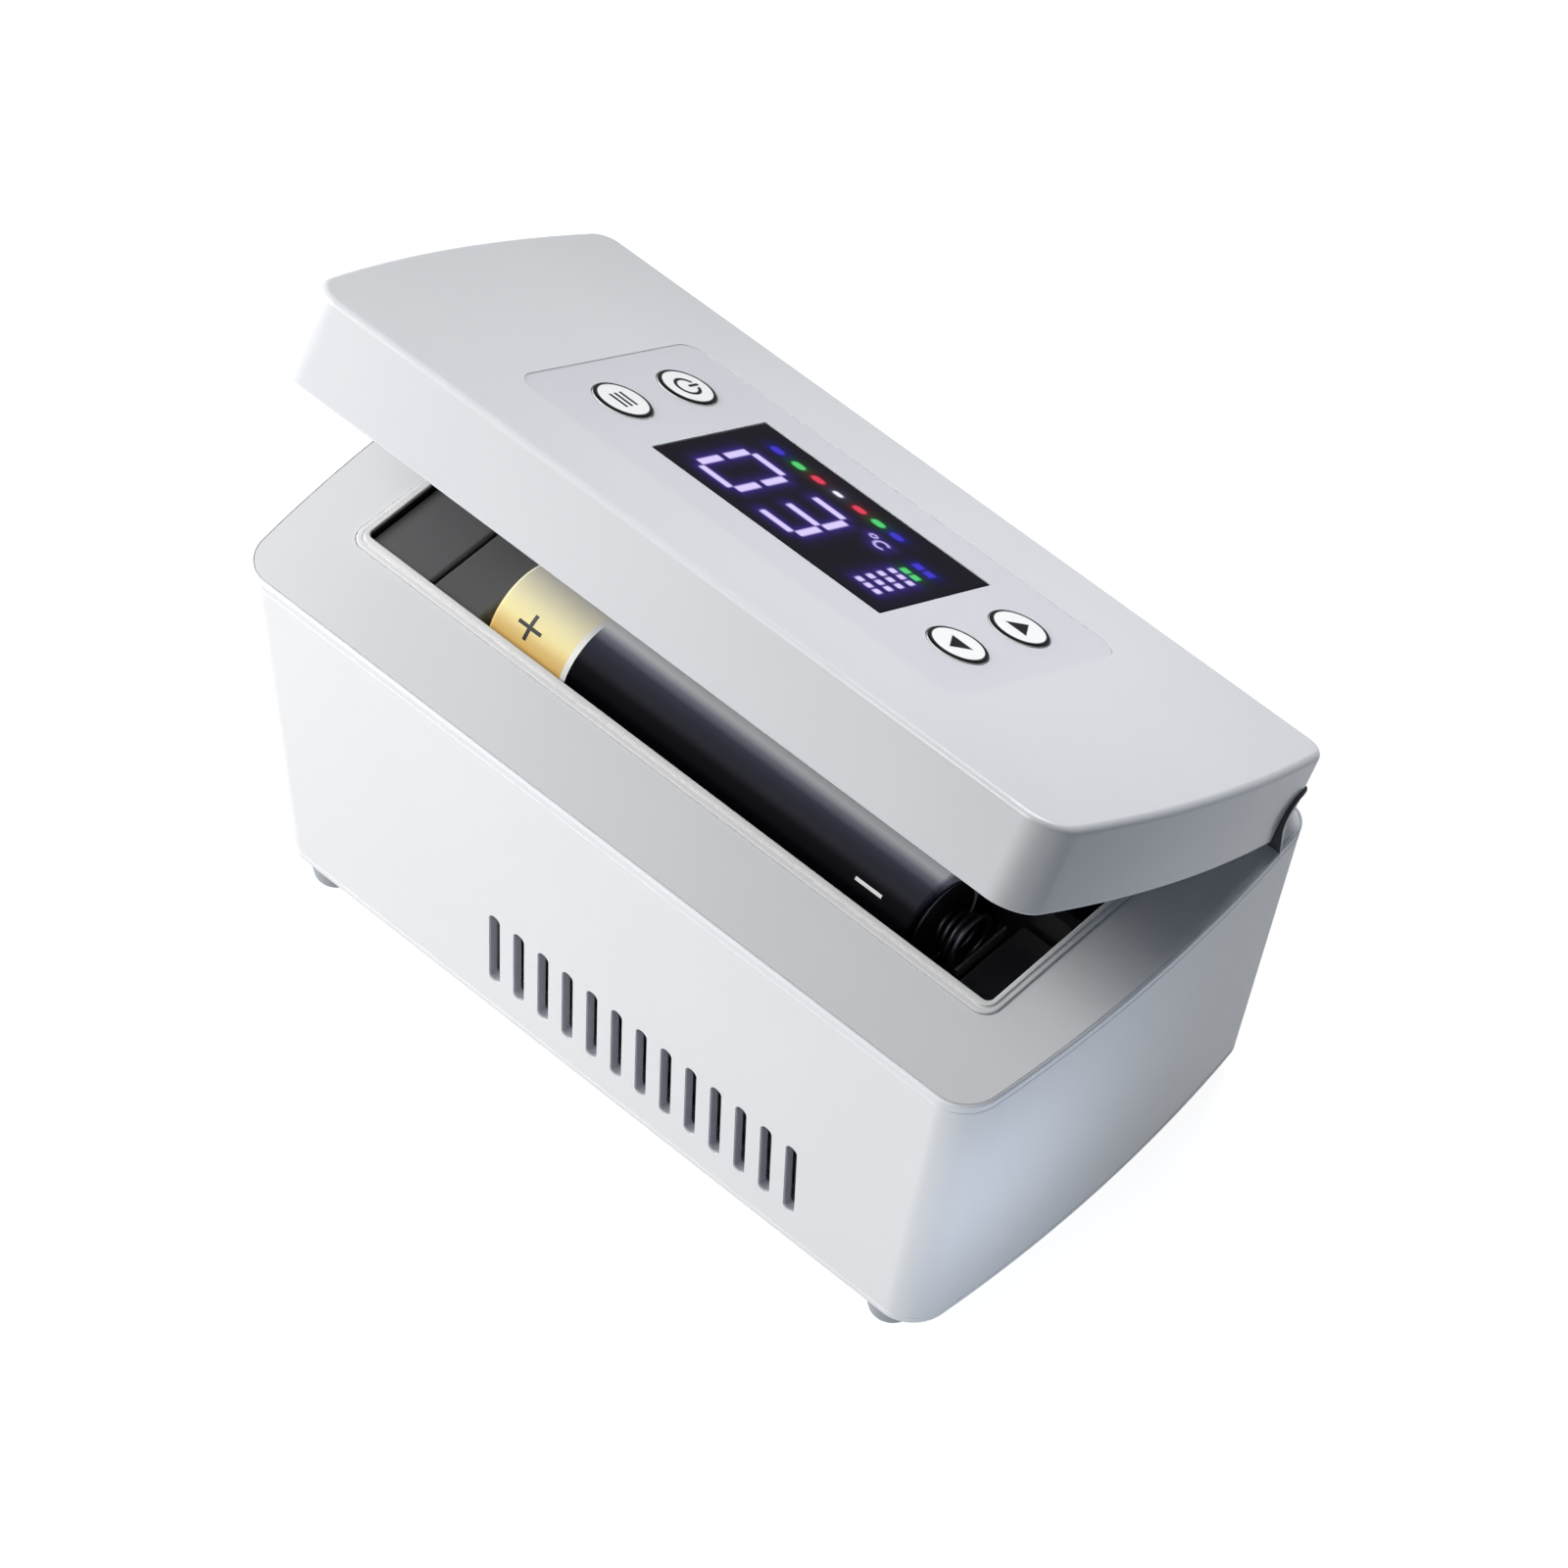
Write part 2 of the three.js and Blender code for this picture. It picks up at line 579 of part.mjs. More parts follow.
// Base: a plate with a lip inside the housing, screw bosses, an intake grille and posts
function baseTray() {
  const plate = bodyLoft([
    [bottomZ, SEAM_CHAMFER],
    [bottomZ + SEAM_CHAMFER, 0],
    [baseTopZ - SEAM_CHAMFER, 0],
    [baseTopZ, SEAM_CHAMFER],
  ]);
  const lipInset = BODY_WALL + FIT_GAP;
  const lip = cut(
    bodyLoft([[baseTopZ - BASE_PLATE / 2, lipInset], [baseTopZ + LIP_HEIGHT, lipInset]]),
    bodyLoft([
      [bottomZ, lipInset + LIP_THICKNESS],
      [baseTopZ + LIP_HEIGHT + OVERRUN, lipInset + LIP_THICKNESS],
    ]),
    corners.map(([sx, sy]) => block(
      [sx * screwX - POST_RADIUS, sx * screwX + POST_RADIUS],
      [sy * screwY, sy * halfDepth].sort((a, b) => a - b),
      [baseTopZ, baseTopZ + LIP_HEIGHT + OVERRUN])),
  );
  const bosses = corners.map(([sx, sy]) => rod('z', [sx * screwX, sy * screwY], bottomZ + SEAM_CHAMFER,
    postFootZ, BOSS_RADIUS, SMALL_ROUND_STEPS));
  const fanBosses = corners.map(([sx, sy]) => rod('z',
    [VENT_X + (sx * FAN_HOLE_SPACING) / 2, (sy * FAN_HOLE_SPACING) / 2],
    baseTopZ - BASE_PLATE / 2, fanBottomZ, FAN_BOSS_RADIUS, SMALL_ROUND_STEPS));
  const boardPosts = [boardLeftX + BOARD_POST_INSET, boardRightX - BOARD_POST_INSET].flatMap((x) =>
    [-1, 1].map((side) => rod('z', [x, side * (boardHalfDepth - BOARD_POST_INSET)],
      baseTopZ - BASE_PLATE / 2, boardBottomZ, BOARD_POST_RADIUS, SMALL_ROUND_STEPS)));
  const pockets = corners.map(([sx, sy]) => join(
    rod('z', [sx * screwX, sy * screwY], bottomZ - OVERRUN, screwShoulderZ,
      SCREW_HEAD_RADIUS + FIT_GAP, SMALL_ROUND_STEPS),
    rod('z', [sx * screwX, sy * screwY], bottomZ - OVERRUN, postFootZ + OVERRUN,
      SCREW_SHANK_RADIUS + FIT_GAP, SMALL_ROUND_STEPS),
  ));
  const rows = Math.floor((INTAKE_RADIUS - INTAKE_SLOT_WIDTH) / INTAKE_PITCH);
  const intake = Array.from({ length: 2 * rows + 1 }, (_, i) => {
    const y = (i - rows) * INTAKE_PITCH;
    const half = Math.sqrt(INTAKE_RADIUS ** 2 - y ** 2);
    return prism('z', roundedRectangle([VENT_X - half, VENT_X + half],
      [y - INTAKE_SLOT_WIDTH / 2, y + INTAKE_SLOT_WIDTH / 2], INTAKE_SLOT_WIDTH / 2),
    bottomZ - OVERRUN, baseTopZ + OVERRUN / 2);
  });
  return cut(join(plate, lip, bosses, fanBosses, boardPosts), pockets, intake);
}

function foot([sx, sy]) {
  return turned([
    [0, 0],
    [FOOT_SOLE_RADIUS - FOOT_SOLE_CHAMFER, 0],
    [FOOT_SOLE_RADIUS, FOOT_SOLE_CHAMFER],
    [FOOT_TOP_RADIUS, bottomZ - FOOT_SOLE_CHAMFER],
    [FOOT_TOP_RADIUS, bottomZ],
    [0, bottomZ],
  ], [sx * footX, sy * footY]);
}

// A pan head screw seen from below, with a cross recess
function screw([x, y], seatZ, { headRadius, headHeight, shankRadius, length }) {
  const headZ = seatZ - headHeight;
  const arm = headRadius - SCREW_RECESS_WIDTH;
  const half = SCREW_RECESS_WIDTH / 2;
  const depth = [headZ - OVERRUN, headZ + Math.min(SCREW_RECESS_DEPTH, headHeight / 2)];
  return cut(
    turned([
      [0, headZ],
      [headRadius - headHeight / 4, headZ],
      [headRadius, headZ + headHeight / 3],
      [headRadius, seatZ],
      [shankRadius, seatZ],
      [shankRadius, seatZ + length - shankRadius],
      [0, seatZ + length],
    ], [x, y], SMALL_ROUND_STEPS),
    block([x - arm, x + arm], [y - half, y + half], depth),
    block([x - half, x + half], [y - arm, y + arm], depth),
  );
}

// Where the ridge's pockets and pins lie along X, for the left and right knuckle
const knuckleCentres = { left: -knuckleX, right: knuckleX };

function ridgeShape(radius, footZ) {
  const shape = new THREE.Shape();
  shape.moveTo(hingeY - radius, footZ);
  shape.lineTo(hingeY + radius, footZ);
  shape.lineTo(hingeY + radius, hingeZ);
  shape.absarc(hingeY, hingeZ, radius, 0, Math.PI, false);
  shape.lineTo(hingeY - radius, footZ);
  return shape;
}

// Deck: a plate with a skirt inside the housing, and the round hinge ridge along its back
function topDeck() {
  const plate = bodyLoft([
    [deckUnderZ, SEAM_CHAMFER],
    [deckUnderZ + SEAM_CHAMFER, 0],
    ...roundedEdge(deckZ, DECK_EDGE_RADIUS, 3),
  ]);
  const skirtInset = BODY_WALL + FIT_GAP;
  const skirtZ = deckUnderZ - DECK_SKIRT;
  const skirt = cut(
    bodyLoft([[skirtZ, skirtInset], [deckUnderZ + DECK_PLATE / 2, skirtInset]]),
    bodyLoft([[skirtZ - OVERRUN, skirtInset + LIP_THICKNESS], [deckZ, skirtInset + LIP_THICKNESS]]),
  );
  const upright = planOutline({ halfLength: CASE_LENGTH / 2, front: -halfDepth, rear: halfDepth, inset: 0 });
  const plan = loft([
    { points: upright, z: deckUnderZ + SEAM_CHAMFER },
    { points: upright, z: hingeZ + CASE_DEPTH },
  ]);
  const ridge = prism('x', ridgeShape(RIDGE_RADIUS, deckUnderZ), -CASE_LENGTH, CASE_LENGTH, CORNER_STEPS * 2)
    .intersect(plan);
  const opening = prism('z', wellOutline(LINER_WALL + FIT_GAP), skirtZ - OVERRUN, deckZ + OVERRUN);
  const pockets = Object.values(knuckleCentres).map((x) => {
    const span = [x - KNUCKLE_LENGTH / 2 - FIT_GAP, x + KNUCKLE_LENGTH / 2 + FIT_GAP];
    return join(
      rod('x', [hingeY, hingeZ], ...span, notchRadius),
      block(span, [hingeY, halfDepth + OVERRUN], [hingeZ - POCKET_DROP, hingeZ + notchRadius]),
      block(span, [hingeY - notchRadius, hingeY], [hingeZ, hingeZ + notchRadius]),
    );
  });
  const bores = Object.values(knuckleCentres).map((x) => rod('x', [hingeY, hingeZ],
    x - KNUCKLE_LENGTH / 2 - PIN_SEAT - FIT_GAP, x + KNUCKLE_LENGTH / 2 + PIN_SEAT + FIT_GAP,
    PIN_RADIUS + FIT_GAP, SMALL_ROUND_STEPS));
  return cut(join(plate, skirt, ridge), opening, pockets, bores);
}

function hingePin(x) {
  const half = KNUCKLE_LENGTH / 2 + PIN_SEAT;
  return rod('x', [hingeY, hingeZ], x - half, x + half, PIN_RADIUS, SMALL_ROUND_STEPS);
}

// A ring round the well, from its edge outwards
function wellRing(innerMargin, endWidth, sideWidth, [z0, z1]) {
  const outer = roundedRectangle(
    [wellLeftX - innerMargin - endWidth, wellRightX + innerMargin + endWidth],
    [wellFrontY - innerMargin - sideWidth, wellRearY + innerMargin + sideWidth],
    WELL_CORNER_RADIUS + innerMargin + endWidth);
  return cut(prism('z', outer, z0, z1), prism('z', wellOutline(innerMargin), z0 - OVERRUN, z1 + OVERRUN));
}

// Well liner: a tub with a floor under the cell and an open lane that the pen tray hangs in
function wellLiner() {
  const wellX = [wellLeftX, wellRightX];
  const outer = join(
    prism('z', wellOutline(LINER_WALL), linerBottomZ, deckZ),
    prism('z', wellOutline(LINER_WALL + LINER_FLANGE), deckUnderZ - LINER_FLANGE_THICKNESS, deckUnderZ),
  );
  const cellLane = prism('z', roundedRectangle(wellX, [wellFrontY, laneRearY], WELL_CORNER_RADIUS),
    laneFloorZ, deckZ + OVERRUN);
  const penLane = prism('z', roundedRectangle(wellX, [penFrontY, wellRearY], WELL_CORNER_RADIUS),
    deckZ - TRAY_RIM_DROP - TRAY_SHEET, deckZ + OVERRUN);
  const trayHole = prism('z', trayOutline(-FIT_GAP), linerBottomZ - OVERRUN, deckZ);
  return cut(outer, cellLane, penLane, trayHole);
}

// The tray's outline, drawn in by an inset
function trayOutline(inset) {
  const edge = TRAY_LEDGE + FIT_GAP + inset;
  return roundedRectangle([wellLeftX + edge, wellRightX - edge],
    [penFrontY + edge, wellRearY - edge], TRAY_CORNER_RADIUS - inset);
}

function penTray() {
  const rimTopZ = deckZ - TRAY_RIM_DROP;
  const rim = prism('z', roundedRectangle([wellLeftX + FIT_GAP, wellRightX - FIT_GAP],
    [penFrontY + FIT_GAP, wellRearY - FIT_GAP], WELL_CORNER_RADIUS), rimTopZ - TRAY_SHEET, rimTopZ);
  return cut(
    join(prism('z', trayOutline(0), trayBottomZ, rimTopZ), rim),
    prism('z', trayOutline(TRAY_SHEET), trayBottomZ + TRAY_SHEET, rimTopZ + OVERRUN),
  );
}

// Foam round the pen tray, with a pocket for the thermoelectric module and a hole for the block over it
function insulationFoam() {
  const bottom = sinkTopZ + FIT_GAP;
  const half = PELTIER_SIZE / 2 + FIT_GAP;
  const blockHalf = COLD_BLOCK_DEPTH / 2 + FIT_GAP;
  const spanX = [VENT_X - half, VENT_X + half];
  return cut(
    block([wellLeftX - FOAM_LEFT_REACH, wellRightX + FOAM_RIGHT_REACH],
      [penFrontY - FOAM_FRONT_REACH, wellRearY + FOAM_REAR_REACH], [bottom, linerBottomZ - FIT_GAP]),
    prism('z', trayOutline(-FIT_GAP), trayBottomZ - FIT_GAP, deckZ),
    block(spanX, [penY - half, penY + half], [bottom - OVERRUN, peltierTopZ + FIT_GAP]),
    block(spanX, [penY - blockHalf, penY + blockHalf], [bottom - OVERRUN, trayBottomZ]),
  );
}

function coldBlock() {
  return block([VENT_X - PELTIER_SIZE / 2, VENT_X + PELTIER_SIZE / 2],
    [penY - COLD_BLOCK_DEPTH / 2, penY + COLD_BLOCK_DEPTH / 2], [peltierTopZ, trayBottomZ]);
}

function peltierModule() {
  return block([VENT_X - PELTIER_SIZE / 2, VENT_X + PELTIER_SIZE / 2],
    [penY - PELTIER_SIZE / 2, penY + PELTIER_SIZE / 2], [sinkTopZ, peltierTopZ]);
}

// Heat sink: fins run from front to back, one between each two vent slots
function heatSink() {
  const depth = [-sinkHalfDepth, sinkHalfDepth];
  const base = block([VENT_X - sinkHalfLength, VENT_X + sinkHalfLength], depth,
    [sinkTopZ - SINK_BASE, sinkTopZ]);
  const fins = betweenSlots.map((x) => block([x - FIN_THICKNESS / 2, x + FIN_THICKNESS / 2], depth,
    [fanTopZ, sinkTopZ - SINK_BASE / 2]));
  return join(base, fins);
}

function fanFrame() {
  const half = FAN_SIZE / 2;
  const body = prism('z', roundedRectangle([VENT_X - half, VENT_X + half], [-half, half], FAN_CORNER_RADIUS),
    fanBottomZ, fanTopZ);
  const holes = corners.map(([sx, sy]) => rod('z',
    [VENT_X + (sx * FAN_HOLE_SPACING) / 2, (sy * FAN_HOLE_SPACING) / 2],
    fanBottomZ - OVERRUN, fanTopZ + OVERRUN, FAN_HOLE_RADIUS, SMALL_ROUND_STEPS));
  const bore = rod('z', [VENT_X, 0], fanBottomZ - OVERRUN, fanTopZ + OVERRUN, FAN_BORE_RADIUS);
  const statorTopZ = fanBottomZ + FAN_STATOR_HEIGHT;
  const stator = rod('z', [VENT_X, 0], fanBottomZ, statorTopZ, FAN_HUB_RADIUS);
  const strutReach = FAN_BORE_RADIUS + FAN_TIP_GAP;
  const struts = [
    block([VENT_X - strutReach, VENT_X + strutReach], [-FAN_STRUT_WIDTH / 2, FAN_STRUT_WIDTH / 2],
      [fanBottomZ, statorTopZ]),
    block([VENT_X - FAN_STRUT_WIDTH / 2, VENT_X + FAN_STRUT_WIDTH / 2], [-strutReach, strutReach],
      [fanBottomZ, statorTopZ]),
  ];
  const bearing = rod('z', [VENT_X, 0], fanBottomZ - OVERRUN, fanTopZ, FAN_SHAFT_RADIUS + FIT_GAP,
    SMALL_ROUND_STEPS);
  return cut(join(cut(body, bore, holes), stator, struts), bearing);
}

// Rotor: a hub with pitched blades and a short shaft in the frame's bearing
function fanRotor() {
  const bottom = fanBottomZ + FAN_STATOR_HEIGHT + FAN_HUB_GAP;
  const top = fanTopZ - FIT_GAP * 2;
  const tipRadius = FAN_BORE_RADIUS - FAN_TIP_GAP;
  const hub = rod('z', [VENT_X, 0], bottom, top, FAN_HUB_RADIUS);
  const shaft = rod('z', [VENT_X, 0], fanBottomZ + FIT_GAP, top, FAN_SHAFT_RADIUS, SMALL_ROUND_STEPS);
  const blades = Array.from({ length: FAN_BLADES }, (_, i) => {
    const geometry = new THREE.BoxGeometry(tipRadius, FAN_BLADE_CHORD, FAN_BLADE_THICKNESS);
    geometry.rotateX(FAN_BLADE_PITCH_DEGREES * degrees);
    geometry.translate(tipRadius / 2 + FAN_HUB_RADIUS / 2, 0, (bottom + top) / 2);
    geometry.rotateZ((2 * Math.PI * i) / FAN_BLADES);
    geometry.translate(VENT_X, 0, 0);
    return solidOf(geometry);
  });
  const swept = rod('z', [VENT_X, 0], bottom, top, tipRadius);
  return join(hub, join(blades).intersect(swept), shaft);
}

// Screens behind the slots: a plate with slits between the slots, and a rim against the wall
function ventBaffle(side) {
  const wallY = side * innerWallY;
  const faceY = side * (innerWallY - BAFFLE_STANDOFF);
  const half = slotRowHalf + SLOT_WIDTH / 2 + BAFFLE_MARGIN;
  const span = [VENT_X - half, VENT_X + half];
  const rise = [slotBottomZ - BAFFLE_MARGIN, slotTopZ + BAFFLE_MARGIN];
  const box = block(span, [wallY, faceY].sort((a, b) => a - b), rise);
  const hollow = block([span[0] + BAFFLE_RIM, span[1] - BAFFLE_RIM],
    [wallY + side * OVERRUN, faceY + side * BAFFLE_PLATE].sort((a, b) => a - b),
    [rise[0] + BAFFLE_RIM, rise[1] - BAFFLE_RIM]);
  const slits = betweenSlots.map((x) => block([x - SLOT_WIDTH / 4, x + SLOT_WIDTH / 4],
    [wallY, faceY - side * OVERRUN].sort((a, b) => a - b), [slotBottomZ, slotTopZ]));
  return cut(box, hollow, slits);
}

// Cell: a turned body along X with rounded shoulders
function alongX(profile, steps = ROUND_STEPS) {
  const geometry = new THREE.LatheGeometry(profile.map(([r, x]) => new THREE.Vector2(r, x)), steps);
  geometry.rotateZ(-Math.PI / 2);
  geometry.translate(0, laneY, cellZ);
  return solidOf(geometry);
}

function batteryCell() {
  const bodyRightX = cellRightX - NEGATIVE_CAP_HEIGHT;
  const shoulder = (x, direction) => [0, 1, 2, 3].map((i) => {
    const angle = (Math.PI / 2) * (i / 3);
    return [
      CELL_RADIUS - CELL_SHOULDER + CELL_SHOULDER * Math.sin(angle),
      x + direction * (CELL_SHOULDER - CELL_SHOULDER * Math.cos(angle)),
    ];
  });
  return alongX([
    [0, cellLeftX],
    ...shoulder(cellLeftX, 1),
    ...shoulder(bodyRightX, -1).reverse(),
    [0, bodyRightX],
  ], ROUND_STEPS + CORNER_STEPS * 2);
}

const positiveCapX = cellLeftX - CAP_HEIGHT;
const positiveContactX = positiveCapX - FIT_GAP - CONTACT_SHEET;
const coverRightX = wellLeftX + FIT_GAP + COVER_LENGTH;
const springEndX = cellRightX + FIT_GAP + SPRING_LENGTH;
const negativeContactX = springEndX + FIT_GAP;
const laneSpan = [wellFrontY + FIT_GAP, laneRearY - FIT_GAP];

// A block in the cell's lane, with rounded upper edges and the same number of points at each height
function laneBlock([x0, x1], topZ) {
  const radius = BLOCK_EDGE_RADIUS;
  const section = ([z, inset]) => {
    const xs = [x0 + inset + radius, x1 - inset - radius];
    const ys = [laneSpan[0] + inset + radius, laneSpan[1] - inset - radius];
    const centres = [[xs[1], ys[1]], [xs[0], ys[1]], [xs[0], ys[0]], [xs[1], ys[0]]];
    const points = centres.flatMap(([x, y], quarter) => Array.from({ length: BLOCK_STEPS + 1 }, (_, i) => {
      const angle = (Math.PI / 2) * (quarter + i / BLOCK_STEPS);
      return new THREE.Vector2(x + radius * Math.cos(angle), y + radius * Math.sin(angle));
    }));
    return { points, z };
  };
  return loft([[laneFloorZ, 0], ...roundedEdge(topZ, radius, 2)].map(section));
}

function contactPlate(x) {
  return block([x, x + CONTACT_SHEET], [laneY - CONTACT_WIDTH / 2, laneY + CONTACT_WIDTH / 2],
    [laneFloorZ, laneFloorZ + CONTACT_HEIGHT]);
}

// Contact spring: one wire on a cone, with its wide end on the contact plate
function negativeSpring() {
  const steps = SPRING_TURNS * SPRING_STEPS_PER_TURN;
  const startX = cellRightX + FIT_GAP + SPRING_WIRE_RADIUS;
  const pitchLength = SPRING_LENGTH - SPRING_WIRE_RADIUS * 2;
  const centres = Array.from({ length: steps + 1 }, (_, i) => {
    const share = i / steps;
    const angle = 2 * Math.PI * SPRING_TURNS * share;
    const radius = SPRING_SMALL_RADIUS + (SPRING_LARGE_RADIUS - SPRING_SMALL_RADIUS) * share;
    return new THREE.Vector3(
      startX + pitchLength * share,
      laneY + radius * Math.cos(angle),
      cellZ + radius * Math.sin(angle));
  });
  const position = [];
  centres.forEach((centre, i) => {
    const along = centres[Math.min(i + 1, steps)].clone().sub(centres[Math.max(i - 1, 0)]).normalize();
    const outward = new THREE.Vector3(0, centre.y - laneY, centre.z - cellZ).normalize();
    const across = along.clone().cross(outward).normalize();
    const level = across.clone().cross(along).normalize();
    for (let k = 0; k < SPRING_SIDES; k += 1) {
      const angle = (2 * Math.PI * k) / SPRING_SIDES;
      const point = centre.clone()
        .addScaledVector(level, SPRING_WIRE_RADIUS * Math.cos(angle))
        .addScaledVector(across, SPRING_WIRE_RADIUS * Math.sin(angle));
      position.push(point.x, point.y, point.z);
    }
  });
  const index = [];
  for (let i = 0; i < steps; i += 1) {
    for (let k = 0; k < SPRING_SIDES; k += 1) {
      const [a, b] = [i * SPRING_SIDES + k, i * SPRING_SIDES + ((k + 1) % SPRING_SIDES)];
      index.push(a, b, b + SPRING_SIDES, a, b + SPRING_SIDES, a + SPRING_SIDES);
    }
  }
  const last = steps * SPRING_SIDES;
  for (let k = 1; k < SPRING_SIDES - 1; k += 1) {
    index.push(0, k + 1, k, last, last + k, last + k + 1);
  }
  const geometry = new THREE.BufferGeometry();
  geometry.setAttribute('position', new THREE.BufferAttribute(new Float32Array(position), 3));
  geometry.setIndex(index);
  let leastGap = Infinity;
  for (let i = 0; i <= steps; i += 1) {
    for (let j = i + SPRING_STEPS_PER_TURN / 2; j <= steps; j += 1) {
      leastGap = Math.min(leastGap, centres[i].distanceTo(centres[j]) - 2 * SPRING_WIRE_RADIUS);
    }
  }
  console.log(`spring: least gap to itself ${leastGap.toFixed(2)} mm`);
  return solidOf(geometry);
}

function mainBoard() {
  return prism('z', roundedRectangle([boardLeftX, boardRightX], [-boardHalfDepth, boardHalfDepth],
    BOARD_CORNER_RADIUS), boardBottomZ, boardTopZ);
}

// Power socket: a block on the board with a round nose in the rear wall
function dcJack() {
  const z = boardTopZ + JACK_HEIGHT / 2;
  const faceY = innerWallY - FIT_GAP;
  const noseY = halfDepth - FIT_GAP;
  return join(
    cut(
      join(
        block([jackX - JACK_WIDTH / 2, jackX + JACK_WIDTH / 2], [faceY - JACK_LENGTH, faceY],
          [boardTopZ, boardTopZ + JACK_HEIGHT]),
        rod('y', [jackX, z], faceY - JACK_LENGTH / 2, noseY, JACK_NOSE_RADIUS, SMALL_ROUND_STEPS),
      ),
      rod('y', [jackX, z], noseY - JACK_BORE_DEPTH, noseY + OVERRUN, JACK_BORE_RADIUS, SMALL_ROUND_STEPS),
    ),
    rod('y', [jackX, z], faceY - JACK_LENGTH / 2 - JACK_PIN_RADIUS, noseY - JACK_PIN_RADIUS, JACK_PIN_RADIUS,
      SMALL_ROUND_STEPS),
  );
}

function capacitor([x, y], radius, height) {
  return turned([
    [0, boardTopZ],
    [radius, boardTopZ],
    [radius, boardTopZ + CAPACITOR_GROOVE * 2],
    [radius - CAPACITOR_GROOVE, boardTopZ + CAPACITOR_GROOVE * 3],
    [radius, boardTopZ + CAPACITOR_GROOVE * 4],
    [radius, boardTopZ + height - CAPACITOR_GROOVE],
    [radius - CAPACITOR_GROOVE, boardTopZ + height],
    [0, boardTopZ + height],
  ], [x, y], SMALL_ROUND_STEPS);
}

function inductor([x, y]) {
  const waist = INDUCTOR_RADIUS - INDUCTOR_WAIST;
  return turned([
    [0, boardTopZ],
    [INDUCTOR_RADIUS, boardTopZ],
    [INDUCTOR_RADIUS, boardTopZ + INDUCTOR_HEIGHT / 5],
    [waist, boardTopZ + INDUCTOR_HEIGHT / 4],
    [waist, boardTopZ + (INDUCTOR_HEIGHT * 3) / 4],
    [INDUCTOR_RADIUS, boardTopZ + (INDUCTOR_HEIGHT * 4) / 5],
    [INDUCTOR_RADIUS, boardTopZ + INDUCTOR_HEIGHT],
    [0, boardTopZ + INDUCTOR_HEIGHT],
  ], [x, y], SMALL_ROUND_STEPS);
}

function buzzer([x, y]) {
  const top = boardTopZ + BUZZER_HEIGHT;
  return cut(
    rod('z', [x, y], boardTopZ, top, BUZZER_RADIUS, SMALL_ROUND_STEPS),
    rod('z', [x, y], top - BUZZER_HEIGHT / 2, top + OVERRUN, BUZZER_PORT_RADIUS, SMALL_ROUND_STEPS),
  );
}

// Lid. Its pieces are drawn in the shut position, and the pivot's group swings them open.
const keyPlaces = {
  set: [PANEL_X - KEY_SPACING_X / 2, WINDOW_Y - KEY_SPACING_Y / 2],
  power: [PANEL_X - KEY_SPACING_X / 2, WINDOW_Y + KEY_SPACING_Y / 2],
  right: [PANEL_X + KEY_SPACING_X / 2, WINDOW_Y - KEY_SPACING_Y / 2],
  left: [PANEL_X + KEY_SPACING_X / 2, WINDOW_Y + KEY_SPACING_Y / 2],
};
const lidPostX = CASE_LENGTH / 2 - LID_POST_END_INSET;
const lidPosts = [LID_POST_FRONT_INSET - halfDepth, lidCavityRearY - LID_POST_REAR_INSET].flatMap((y) => [
  [-lidPostX, y],
  [lidPostX, y],
]);
const boardSpanX = [PANEL_X - DISPLAY_BOARD_LENGTH / 2, PANEL_X + DISPLAY_BOARD_LENGTH / 2];
const boardSpanY = [WINDOW_Y - DISPLAY_BOARD_DEPTH / 2, WINDOW_Y + DISPLAY_BOARD_DEPTH / 2];

function centred(x, y, length, depth, radius, grow) {
  return roundedRectangle([x - length / 2 - grow, x + length / 2 + grow],
    [y - depth / 2 - grow, y + depth / 2 + grow], radius);
}

function panelOutline(grow) {
  return centred(PANEL_X, PANEL_Y, PANEL_LENGTH, PANEL_DEPTH, PANEL_CORNER_RADIUS, grow);
}

function windowOutline(grow) {
  return centred(WINDOW_X, WINDOW_Y, WINDOW_LENGTH, WINDOW_DEPTH, SEAM_CHAMFER, grow);
}

